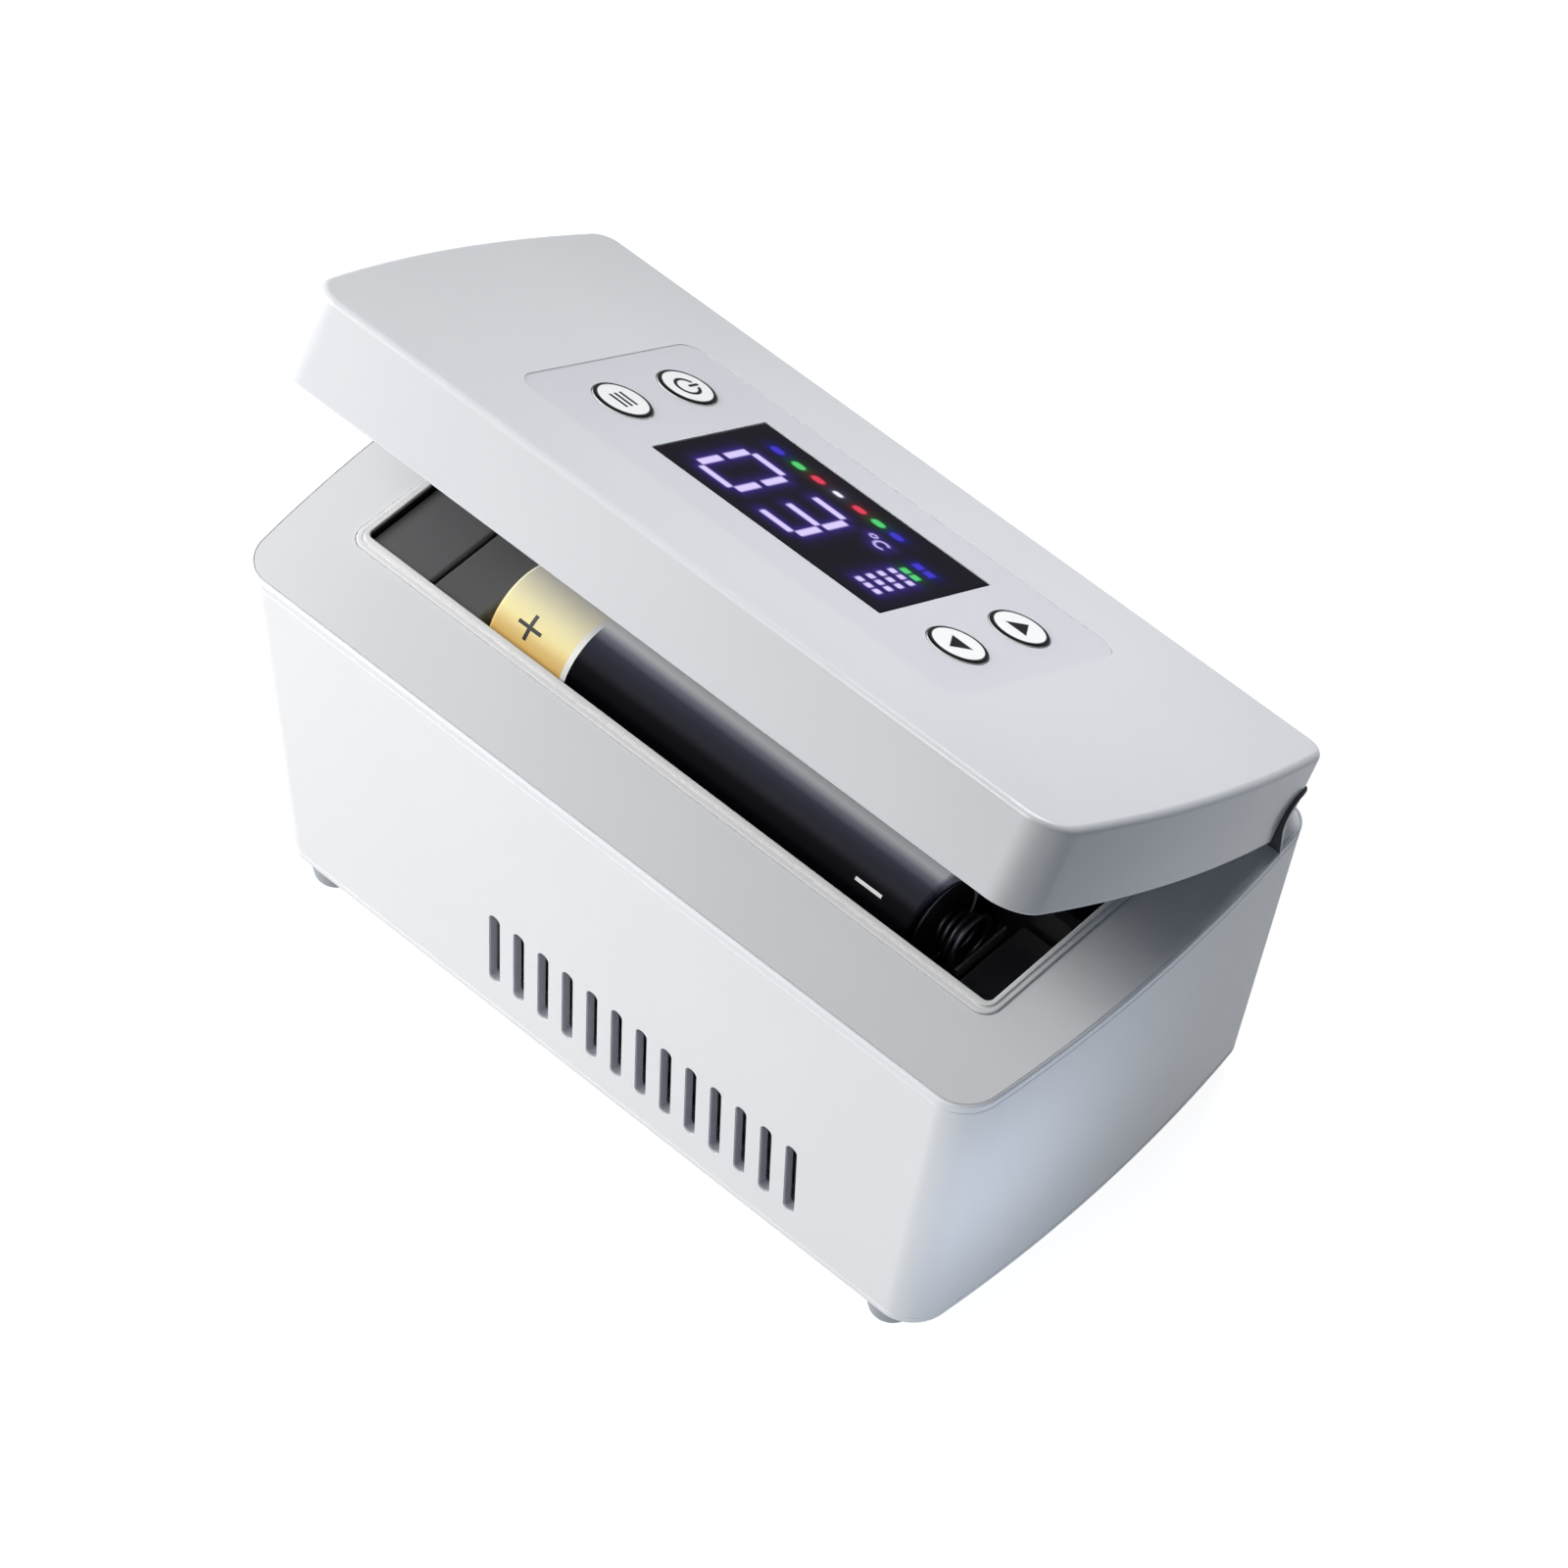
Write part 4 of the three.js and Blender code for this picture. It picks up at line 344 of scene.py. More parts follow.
# Moulded ABS scatters light just under its skin: soft tone, fine spark-eroded grain, satin highlights.
# Grain of 0.4 mm is coarser than the real 0.1 mm, so that it shows at this distance.
FINISHES = {
    "white_plastic": Finish("white_abs_moulded", "#F1F1F1", "#ECEDEE", 0.3, ior=1.22),
    "deck_plastic": Finish("light_grey_abs_moulded", "#EFF0F3", "#E9EBEE", 0.34, relief=0.008, ior=1.3),
    "lid_plastic": Finish("pale_silver_abs_painted", "#D2D4D7", "#CACCD0", 0.32, relief=0.008, coat=0.2),
    "panel_film": Finish("silver_polycarbonate_film", "#CDCFD4", "#C6C8CE", 0.4, grain=0.3, relief=0.01),
    "key_plastic": InkedFinish("white_polycarbonate_keycap", "#F5F5F5", "#EFEFF0", 0.42, ior=1.12),
    "black_plastic": Finish("black_abs_moulded", "#15161A", "#1B1C21", 0.34, relief=0.01),
    "cover_plastic": Finish("charcoal_abs_moulded", "#626261", "#5B5C5F", 0.42, relief=0.012),
    "slate_plastic": Finish("slate_abs_moulded", "#8E9099", "#858790", 0.5, relief=0.012, ior=1.3),
    # A grey sheet in the vent slots, painted shade for the dim inside of the slots.
    "slot_lining": Finish("grey_slot_shade_lining", "#C4C6CE", "#BCBEC6", 0.6, relief=0.012, ior=1.2),
    # An anti-glare coat takes nearly all of the smoked window's own reflection, so its IOR is low.
    "window_glass": LitWindow(
        "smoked_acrylic_window", "#0A0712", "#0E0B18", 0.09, relief=0.0, uneven=0.02, ior=1.06
    ),
    "foot_rubber": Finish(
        "grey_silicone_rubber", "#B9BDC1", "#ADB1B6", 0.7, grain=0.6, relief=0.03, ior=1.41
    ),
    "seal_rubber": Finish("black_epdm_seal", "#26272A", "#2E2F33", 0.75, grain=0.5, relief=0.03, ior=1.5),
    # Closed cells of the foam are about 1.5 mm across and catch light on their rims.
    "foam": Finish("polyethylene_foam", "#E9E6DA", "#DAD6C8", 0.9, grain=1.5, relief=0.15, cloud=9.0),
    # The board's glass weave shows faintly through its green mask.
    "board_laminate": Finish(
        "green_glass_epoxy_board", "#1F5A37", "#2A6B45", 0.4, grain=0.7, relief=0.02, cloud=3.0
    ),
    # The sleeve's matt varnish keeps its print dark where the room would shine on it.
    "cell_sleeve": PrintedSleeve(
        "printed_shrink_sleeve", "#14151F", "#191A26", 0.35, relief=0.0005, ior=1.12
    ),
    "ceramic": Finish(
        "white_alumina_ceramic", "#F1EFE9", "#E6E3DB", 0.5, grain=0.6, relief=0.02, ior=1.76
    ),
    # Drawn and turned metals keep tool lines across their length, so their grain is stretched.
    "steel": Finish(
        "zinc_plated_steel", "#B9BCC0", "#A6A9AE", 0.3, metallic=1.0, grain=0.8, stretch=(1.0, 1.0, 0.1)
    ),
    "nickel": Finish(
        "nickel_plated_steel", "#CFCFCB", "#BDBDB8", 0.24, metallic=1.0, grain=0.5, stretch=(0.2, 1.0, 1.0)
    ),
    # Nickel darkened as painted shade, for the spring and the cell's flat end deep in the shaded lane.
    "shade_darkened_nickel": Finish(
        "nickel_darkened_as_painted_shade", "#3E3F45", "#34353A", 0.42, metallic=1.0, relief=0.002
    ),
    "aluminium": Finish(
        "brushed_aluminium", "#C4C7CA", "#B4B7BB", 0.38, metallic=1.0, grain=0.5, stretch=(0.06, 1.0, 1.0)
    ),
    # The pen tray's aluminium is darkened to near black as painted shade in the well, so only its fine drawn
    # lines catch light.
    "shade_darkened_aluminium": Finish(
        "aluminium_darkened_as_painted_shade",
        "#2C2D31",
        "#242529",
        0.4,
        metallic=1.0,
        grain=0.5,
        stretch=(0.06, 1.0, 1.0),
    ),
    "ink": Finish("black_printing_ink", "#17181C", "#202126", 0.45, relief=0.002),
    "pale_ink": Finish("white_printing_ink", "#F0F0EE", "#E6E6E4", 0.45, relief=0.002),
}
# CAD nodes whose look differs from their slot's own.
# The pen tray takes aluminium darkened as painted shade.
NODE_LOOKS = {"pen_tray": "shade_darkened_aluminium"}


@dataclass
class Surface:
    """Points in millimetres and the faces between them."""

    points: np.ndarray
    faces: list[list[int]]

    def __add__(self, other: "Surface") -> "Surface":
        """Sets another surface beside this one."""
        moved = [[corner + len(self.points) for corner in face] for face in other.faces]
        return Surface(np.concatenate([self.points, other.points]), self.faces + moved)


Steps = list[tuple[str, Surface]]


def cut(*surfaces: Surface) -> Steps:
    """Steps that take surfaces from a piece, in order."""
    return [("DIFFERENCE", surface) for surface in surfaces]


def join(*surfaces: Surface) -> Steps:
    """Steps that add surfaces to a piece, in order."""
    return [("UNION", surface) for surface in surfaces]


def merged(surfaces: list[Surface]) -> Surface:
    """Sets several surfaces side by side as one."""
    return sum(surfaces[1:], surfaces[0])


def about(middle: float, half: float) -> Pair:
    """The span that reaches equally far to both sides of a middle."""
    return (middle - half, middle + half)


def grown(span: Pair, by: float) -> Pair:
    """A span made longer at both ends, or shorter where the growth is below zero."""
    return (span[0] - by, span[1] + by)


def rounded_rectangle(x: Pair, y: Pair, radius: float, steps: int = 8) -> np.ndarray:
    """A rectangle with round corners, counter-clockwise.

    Each corner is centre + radius * (cos, sin) of an angle that runs over a quarter turn.

    Args:
        x: Lowest and highest x.
        y: Lowest and highest y.
        radius: The corners' radius.
        steps: Facets of each corner.

    Returns:
        An (n, 2) array.
    """
    quarter = np.linspace(0, math.pi / 2, steps + 1)
    centre_x = np.array([x[1], x[0], x[0], x[1]]) + np.array([-1, 1, 1, -1]) * radius
    centre_y = np.array([y[1], y[1], y[0], y[0]]) + np.array([-1, -1, 1, 1]) * radius
    angle = quarter[None, :] + np.arange(4)[:, None] * math.pi / 2
    points = [centre_x[:, None] + radius * np.cos(angle), centre_y[:, None] + radius * np.sin(angle)]
    return np.stack(points, -1).reshape(-1, 2)


def arc(centre: Pair, radius: float, angle: np.ndarray) -> np.ndarray:
    """Points at centre + radius * (cos, sin) of each angle."""
    return np.array(centre) + radius * np.stack([np.cos(angle), np.sin(angle)], -1)


def circle(centre: Pair, radius: float, steps: int = 64) -> np.ndarray:
    """A circle of so many points, counter-clockwise."""
    return arc(centre, radius, np.arange(steps) * (2 * math.pi / steps))


def plan_outline(half_length: float, front: float, rear: float, inset: float) -> np.ndarray:
    """The plan of the case or the lid: a rounded rectangle whose ends bow outwards as a parabola.

    A corner's point is centre + radius * (cos, sin), and then every x is scaled by
    1 - (bulge / half length) * (y / half depth) squared.

    Args:
        half_length: Half the length, before the inset.
        front: The front's y.
        rear: The rear's y.
        inset: How far the outline is drawn in.

    Returns:
        An (n, 2) array, counter-clockwise.
    """
    steps = 14
    bow_steps = 40
    end_x = half_length - inset
    radii = (max(SIZES.front_corner - inset, 1.0), max(SIZES.rear_corner - inset, 1.0))
    quarter = np.linspace(0, math.pi / 2, steps + 1)
    low = front + inset + radii[0]
    high = rear - inset - radii[1]
    bow = np.linspace(low, high, bow_steps + 1)[1:-1]
    front_x = end_x - radii[0] + radii[0] * np.sin(quarter)
    front_y = low - radii[0] * np.cos(quarter)
    rear_x = end_x - radii[1] + radii[1] * np.cos(quarter)
    rear_y = high + radii[1] * np.sin(quarter)
    right_x = np.concatenate([front_x, np.full(len(bow), end_x), rear_x])
    right_y = np.concatenate([front_y, bow, rear_y])
    x = np.concatenate([right_x, -right_x[::-1]])
    y = np.concatenate([right_y, right_y[::-1]])
    return np.stack([x * (1 - SIZES.end_bulge / half_length * (y / SIZES.half_depth) ** 2), y], -1)


def band(rings: int, count: int) -> list[list[int]]:
    """Faces between neighbouring rings of equal point counts.

    Args:
        rings: The number of rings.
        count: Points in a ring.

    Returns:
        Four corners for each face.
    """
    start = np.arange(rings - 1)[:, None] * count
    here = np.arange(count)[None, :]
    after = (here + 1) % count
    corners = [start + here, start + after, start + count + after, start + count + here]
    return np.stack(corners, -1).reshape(-1, 4).tolist()


def skin(rings: np.ndarray) -> Surface:
    """A closed skin over a stack of rings, with a flat face at each end.

    Args:
        rings: An (s, n, 3) array, each ring counter-clockwise about the way the stack goes.

    Returns:
        The surface, where point (i, j) is point j of ring i.
    """
    count = rings.shape[1]
    total = rings.shape[0] * count
    caps = [list(range(count))[::-1], list(range(total - count, total))]
    return Surface(rings.reshape(-1, 3), band(rings.shape[0], count) + caps)


def hoop(rings: np.ndarray) -> Surface:
    """A skin over an (s, n, 3) array that closes both ways: the last ring meets the first."""
    faces = np.array(band(len(rings) + 1, rings.shape[1])) % (rings.shape[0] * rings.shape[1])
    return Surface(rings.reshape(-1, 3), faces.tolist())


def lifted(flat: np.ndarray, z: float) -> np.ndarray:
    """A flat outline's points, all at one height."""
    return np.column_stack([flat, np.full(len(flat), z)])


def carried(inner: np.ndarray, outer: np.ndarray, section: Iterable[Pair]) -> Surface:
    """A ring between two outlines: each (share, z) gives inner + share * (outer - inner) at that z."""
    return hoop(np.stack([lifted(inner + share * (outer - inner), z) for share, z in section]))


def loft(levels: Iterable[tuple[np.ndarray, float]]) -> Surface:
    """A solid through plan outlines of equal point counts: (outline, z) pairs from the bottom up."""
    return skin(np.stack([lifted(outline, z) for outline, z in levels]))


def prism(axis: str, outline: np.ndarray, start: float, stop: float) -> Surface:
    """An outline carried along an axis.

    Args:
        axis: "x" with an outline of (y, z), "y" with one of (x, z), or "z" with one of (x, y).
        outline: An (n, 2) array, counter-clockwise.
        start: Where it starts along the axis.
        stop: Where it ends.

    Returns:
        The surface.
    """
    ends = (stop, start) if axis == "y" else (start, stop)
    order = {"x": [2, 0, 1], "y": [0, 2, 1], "z": [0, 1, 2]}[axis]
    return skin(np.stack([lifted(outline, at)[:, order] for at in ends]))


def box(x: Pair, y: Pair, z: Pair) -> Surface:
    """A square-edged cutter or rib between two corners."""
    outline = np.array([[x[0], y[0]], [x[1], y[0]], [x[1], y[1]], [x[0], y[1]]])
    return prism("z", outline, *z)


def rod(axis: str, centre: Pair, span: Pair, radius: float, steps: int = 48) -> Surface:
    """A round rod over a span of an axis, with its centre given by the two other coordinates."""
    return prism(axis, circle(centre, radius, steps), *span)


def turned(profile: Iterable[Pair], centre: Pair, steps: int = 72) -> Surface:
    """A turned solid on an upright line: each (radius, z) of the profile becomes a ring."""
    return loft([(circle(centre, radius, steps), z) for radius, z in profile])


def rounding(top: float, radius: float, steps: int = 8) -> list[Pair]:
    """Heights and insets of a rounded upper edge: z = top - r + r sin a, inset = r - r cos a.

    Args:
        top: The height of the flat above the edge.
        radius: The edge's radius.
        steps: Facets of the quarter turn.

    Returns:
        (z, inset) pairs from the bottom up.
    """
    angle = np.linspace(0, math.pi / 2, steps + 1)
    heights = top - radius + radius * np.sin(angle)
    return list(zip(heights.tolist(), (radius - radius * np.cos(angle)).tolist()))


def rounding_under(bottom: float, radius: float, steps: int = 4) -> list[Pair]:
    """Heights and insets of a rounded lower edge, from the bottom up."""
    return [(2 * bottom - z, inset) for z, inset in rounding(bottom, radius, steps)][::-1]


def body_loft(stops: Iterable[Pair]) -> Surface:
    """The body's solid between heights: its ends lean in towards the bottom.

    Half the length at a height is the deck's half length less the lean times the depth below the deck.

    Args:
        stops: (z, inset) pairs from the bottom up.

    Returns:
        The surface.
    """
    levels = []
    for z, inset in stops:
        half = SIZES.half_length - SIZES.end_lean * (SIZES.deck_z - z) / SIZES.body_height
        levels.append((plan_outline(half, -SIZES.half_depth, SIZES.half_depth, inset), z))
    return loft(levels)


def seat(points: np.ndarray, drawn: Drawn) -> np.ndarray:
    """Carries drawn points to the row frame.

    A point of the lid turns about the hinge line by the lid's opening: y' = y cos a - z sin a and
    z' = y sin a + z cos a. Then all shift with the housing and turn into metres.

    Args:
        points: An (n, 3) array in millimetres.
        drawn: The group that they are drawn in.

    Returns:
        An (n, 3) array in metres.
    """
    low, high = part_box("outer_housing")
    shift = np.array([0.0, (low.y + high.y) / 2, 0.0])
    placed = points.astype(float)
    if drawn is Drawn.LID:
        angle = -math.radians(SIZES.lid_open_degrees)
        hinge_y, hinge_z = SIZES.hinge
        y = placed[:, 1] - hinge_y
        z = placed[:, 2] - hinge_z
        turned_y = y * math.cos(angle) - z * math.sin(angle) + hinge_y
        turned_z = y * math.sin(angle) + z * math.cos(angle) + hinge_z
        placed = np.stack([placed[:, 0], turned_y, turned_z], -1)
    return placed * MILLIMETRE + shift


@dataclass
class Maker:
    """Turns surfaces into pieces, and keeps the materials that it has made."""

    materials: dict[str, bpy.types.Material] = field(default_factory=dict)
    count: int = 0

    def finish(self, slot: str) -> bpy.types.Material:
        """The material of a slot, made on first use."""
        if slot not in self.materials:
            self.materials[slot] = FINISHES[slot].material()
        return self.materials[slot]

    def mesh_object(self, name: str, surface: Surface, drawn: Drawn) -> bpy.types.Object:
        """Writes a surface into a new mesh object at the origin.

        Args:
            name: The object's name.
            surface: The surface.
            drawn: The group that it is drawn in.

        Returns:
            The object.
        """
        mesh = bpy.data.meshes.new(name)
        mesh.from_pydata(seat(surface.points, drawn), [], surface.faces)
        made = bpy.data.objects.new(name, mesh)
        bpy.context.scene.collection.objects.link(made)
        return made

    def carve(self, piece: bpy.types.Object, drawn: Drawn, steps: Steps) -> None:
        """Joins surfaces to the piece or cuts them from it, in order, and keeps the result as its mesh.

        Args:
            piece: The piece.
            drawn: The group that the surfaces are drawn in.
            steps: (operation, surface) pairs, the operation as in Blender's Boolean modifier.
        """
        tools = []
        for operation, surface in steps:
            tools.append(self.mesh_object("tool", surface, drawn))
            change = piece.modifiers.new("carve", "BOOLEAN")
            change.operation = operation
            change.solver = "MANIFOLD"
            change.object = tools[-1]
        graph = bpy.context.evaluated_depsgraph_get()
        result = bpy.data.meshes.new_from_object(piece.evaluated_get(graph))
        piece.modifiers.clear()
        piece.data = result
        for tool in tools:
            bpy.data.objects.remove(tool)

    def piece(
        self,
        name: str,
        surface: Surface,
        slot: str,
        nodes: Sequence[str] = (),
        steps: Steps | None = None,
        drawn: Drawn = Drawn.CASE,
        body: str = "",
        soften: float = 0.0,
        look: str = "",
    ) -> bpy.types.Object:
        """Makes a finished piece.

        Args:
            name: Its name.
            surface: Its first surface.
            slot: The material slot that it takes its finish from.
            nodes: The CAD nodes that it stands for.
            steps: Surfaces to join to it or cut from it.
            drawn: The group that it is drawn in.
            body: The body that it rides on, where that isn't its group's own.
            soften: The width of the bevel on its sharp edges, or zero.
            look: The finish that it shows, where that isn't the slot's own.

        Returns:
            The piece.
        """
        body = body or drawn.value
        made = self.mesh_object(name, surface, drawn)
        if steps:
            self.carve(made, drawn, steps)
        made.data.shade_smooth()
        made.data.set_sharp_from_angle(angle=SHARP_EDGE)
        if soften:
            bevel = made.modifiers.new("soft_edges", "BEVEL")
            bevel.width = soften * MILLIMETRE
            bevel.segments = 2
            bevel.limit_method = "ANGLE"
            bevel.angle_limit = SHARP_EDGE
            bevel.harden_normals = True
        made.modifiers.new("even_normals", "WEIGHTED_NORMAL").keep_sharp = True
        made.data.materials.clear()
        made.data.materials.append(self.finish(look or slot))
        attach(made, body)
        if nodes:
            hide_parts(*nodes)
        self.count += 1
        log.info("piece %s on %s: %d points", name, body, len(made.data.vertices))
        return made

    def dress_nodes(self) -> None:
        """Gives every CAD node that still shows the finish of its slot, or its own look."""
        for name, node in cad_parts.items():
            for holder in node.material_slots:
                slot = holder.material.name.split(".")[0]
                holder.material = self.finish(NODE_LOOKS.get(name, slot))
            log.info("node %s dressed", name)


@dataclass
class Housing:
    """White wall shell with its vent slots, the base and the four feet."""

    maker: Maker
    hollow_z: Pair = (-5.0, 100.0)
    slot_count: int = 13
    slot_pitch: float = 6.94
    slot_width: float = 3.1
    slot_z: Pair = (17.1, 39.4)
    # Section of the grey linings that paint shade in the vent slots, as (grow, depth) stops.
    lining: tuple[Pair, ...] = ((0.2, 0.35), (-0.12, 0.35), (-0.12, 2.3), (0.2, 2.3))
    jack_at: Pair = (-50.0, 21.1)
    jack_span: Pair = (46.9, 56.8)
    jack_radius: float = 4.3
    post_radius: float = 3.8
    post_height: float = 28.0
    screw_depth: float = 11.3
    rib: float = 1.6
    boss_radius: float = 5.0
    boss_z: float = 7.5
    fan_boss: Place = (21.0, 10.0, 3.4)
    board_x: Pair = (-82.0, -40.0)
    board_boss: Place = (32.0, 14.0, 2.6)
    boss_foot_z: float = 8.0
    head_span: Pair = (2.0, 10.6)
    head_radius: float = 3.2
    shaft_z: float = 5.0
    grille_z: Pair = (2.0, 11.5)
    grille_radius: float = 22.0
    grille_pitch: float = 4.6
    grille_half: float = 1.1
    foot_at: Pair = (80.0, 45.0)
    foot_radii: Pair = (5.0, 6.0)
    foot_edge: float = 0.8

    def slot_outlines(self, grow: float) -> list[np.ndarray]:
        """The slots' round-ended outlines in (x, z), grown on every side.

        Args:
            grow: How far they are grown.

        Returns:
            An outline for each slot.
        """
        middles = SIZES.vent_x + (np.arange(self.slot_count) - (self.slot_count - 1) / 2) * self.slot_pitch
        half = self.slot_width / 2 + grow
        z = grown(self.slot_z, grow)
        return [rounded_rectangle(about(x, half), z, half, 10) for x in middles]

    def slots(self) -> Surface:
        """Cutters for the vent slots, through the front and the rear wall at once."""
        reach = SIZES.half_depth + SIZES.overrun
        return merged([prism("y", outline, -reach, reach) for outline in self.slot_outlines(0.0)])

    def slot_shade_linings(self) -> None:
        """Thin grey linings in the vent slots, painted shade for their dim insides: each is a frame carried
        through (grow, depth) stops.
        """
        rows = [self.slot_outlines(grow) for grow, _ in self.lining]
        frames = []
        for outlines in zip(*rows):
            for side in (-1, 1):
                y = [side * (SIZES.half_depth - depth) for _, depth in self.lining]
                rings = np.stack([lifted(*at)[:, [0, 2, 1]] for at in zip(outlines, y)])
                frames.append(hoop(rings[::side]))
        self.maker.piece("slot_shade_linings", merged(frames), "slate_plastic", look="slot_lining")

    def wall_shell(self) -> None:
        """The wall shell: a leaning loft less a smaller one, with posts, slots and the socket's hole."""
        foot_z = SIZES.base_top_z + SIZES.lip_rise
        height = (foot_z, foot_z + self.post_height)
        screw = (foot_z - SIZES.overrun, foot_z + self.screw_depth)
        steps = cut(body_loft([(z, SIZES.wall) for z in self.hollow_z]))
        for sx, sy in CORNERS:
            at = (sx * SIZES.post_x, sy * SIZES.post_y)
            rib_x = about(at[0], self.rib / 2)
            rib_y = sorted((at[1], sy * (SIZES.half_depth - SIZES.wall / 2)))
            steps += join(box(rib_x, rib_y, height), rod("z", at, height, self.post_radius))
            steps += cut(rod("z", at, screw, SIZES.bore_radius))
        steps += cut(self.slots(), rod("y", self.jack_at, self.jack_span, self.jack_radius))
        edges = rounding_under(SIZES.base_top_z, SIZES.seam) + rounding(SIZES.deck_under_z, SIZES.seam, 4)
        outer = body_loft(edges)
        self.maker.piece("wall_shell", outer, "white_plastic", ["outer_housing"], steps, soften=0.12)

    def grille(self) -> Surface:
        """Cutters for the air intake: round-ended rows whose ends lie on a circle.

        Returns:
            All the rows as one surface.
        """
        rows = []
        for y in np.arange(-4, 5) * self.grille_pitch:
            x = about(SIZES.vent_x, math.sqrt(self.grille_radius**2 - y**2))
            outline = rounded_rectangle(x, about(y, self.grille_half), self.grille_half)
            rows.append(prism("z", outline, *self.grille_z))
        return merged(rows)

    def base_plate(self) -> None:
        """The base: a plate with a lip, screw bosses, fan bosses, board posts and the intake slots."""
        top = SIZES.base_top_z
        lip_inset = SIZES.wall + SIZES.fit
        lip_top = top + SIZES.lip_rise
        lip_inside = lip_inset + SIZES.lip_wall
        plate = body_loft(rounding_under(SIZES.bottom_z, 0.6) + rounding(top, SIZES.seam, 4))
        steps = join(body_loft([(self.boss_foot_z, lip_inset), (lip_top, lip_inset)]))
        steps += cut(body_loft([(top, lip_inside), (lip_top + SIZES.overrun, lip_inside)]))
        fan_at, fan_top, fan_radius = self.fan_boss
        board_y, board_top, board_radius = self.board_boss
        for sx, sy in CORNERS:
            at = (sx * SIZES.post_x, sy * SIZES.post_y)
            gap = tuple(sorted((at[1], sy * SIZES.half_depth)))
            span = about(at[0], self.post_radius)
            board_x = self.board_x[0] if sx < 0 else self.board_x[1]
            foot_z = self.boss_foot_z
            steps += cut(box(span, gap, (top, lip_top + SIZES.overrun)))
            steps += join(
                rod("z", at, (self.boss_z, lip_top), self.boss_radius),
                rod("z", (SIZES.vent_x + sx * fan_at, sy * fan_at), (foot_z, fan_top), fan_radius),
                rod("z", (board_x, sy * board_y), (foot_z, board_top), board_radius),
            )
            steps += cut(
                rod("z", at, self.head_span, self.head_radius),
                rod("z", at, (self.shaft_z, lip_top + SIZES.overrun), SIZES.bore_radius),
            )
        steps += cut(self.grille())
        self.maker.piece("base_plate", plate, "white_plastic", ["base_tray"], steps, soften=0.12)

    def feet(self) -> None:
        """Four round feet: a tapered profile with a rounded sole edge, turned about an upright line."""
        names = ("foot_front_left", "foot_front_right", "foot_rear_left", "foot_rear_right")
        sole, top = self.foot_radii
        edge = self.foot_edge
        angle = np.linspace(0, math.pi / 2, 7)
        profile = [(sole - edge * (1 - math.sin(a)), edge * (1 - math.cos(a))) for a in angle]
        profile = [(sole - edge * 1.6, 0.0)] + profile
        profile += [(top, SIZES.bottom_z - edge), (top, SIZES.bottom_z)]
        for name, (sx, sy) in zip(names, CORNERS):
            surface = turned(profile, (sx * self.foot_at[0], sy * self.foot_at[1]))
            self.maker.piece(f"rubber_{name}", surface, "foot_rubber", [name])

    def make(self) -> None:
        """Builds and dresses the whole sub-assembly."""
        self.wall_shell()
        self.slot_shade_linings()
        self.base_plate()
        self.feet()


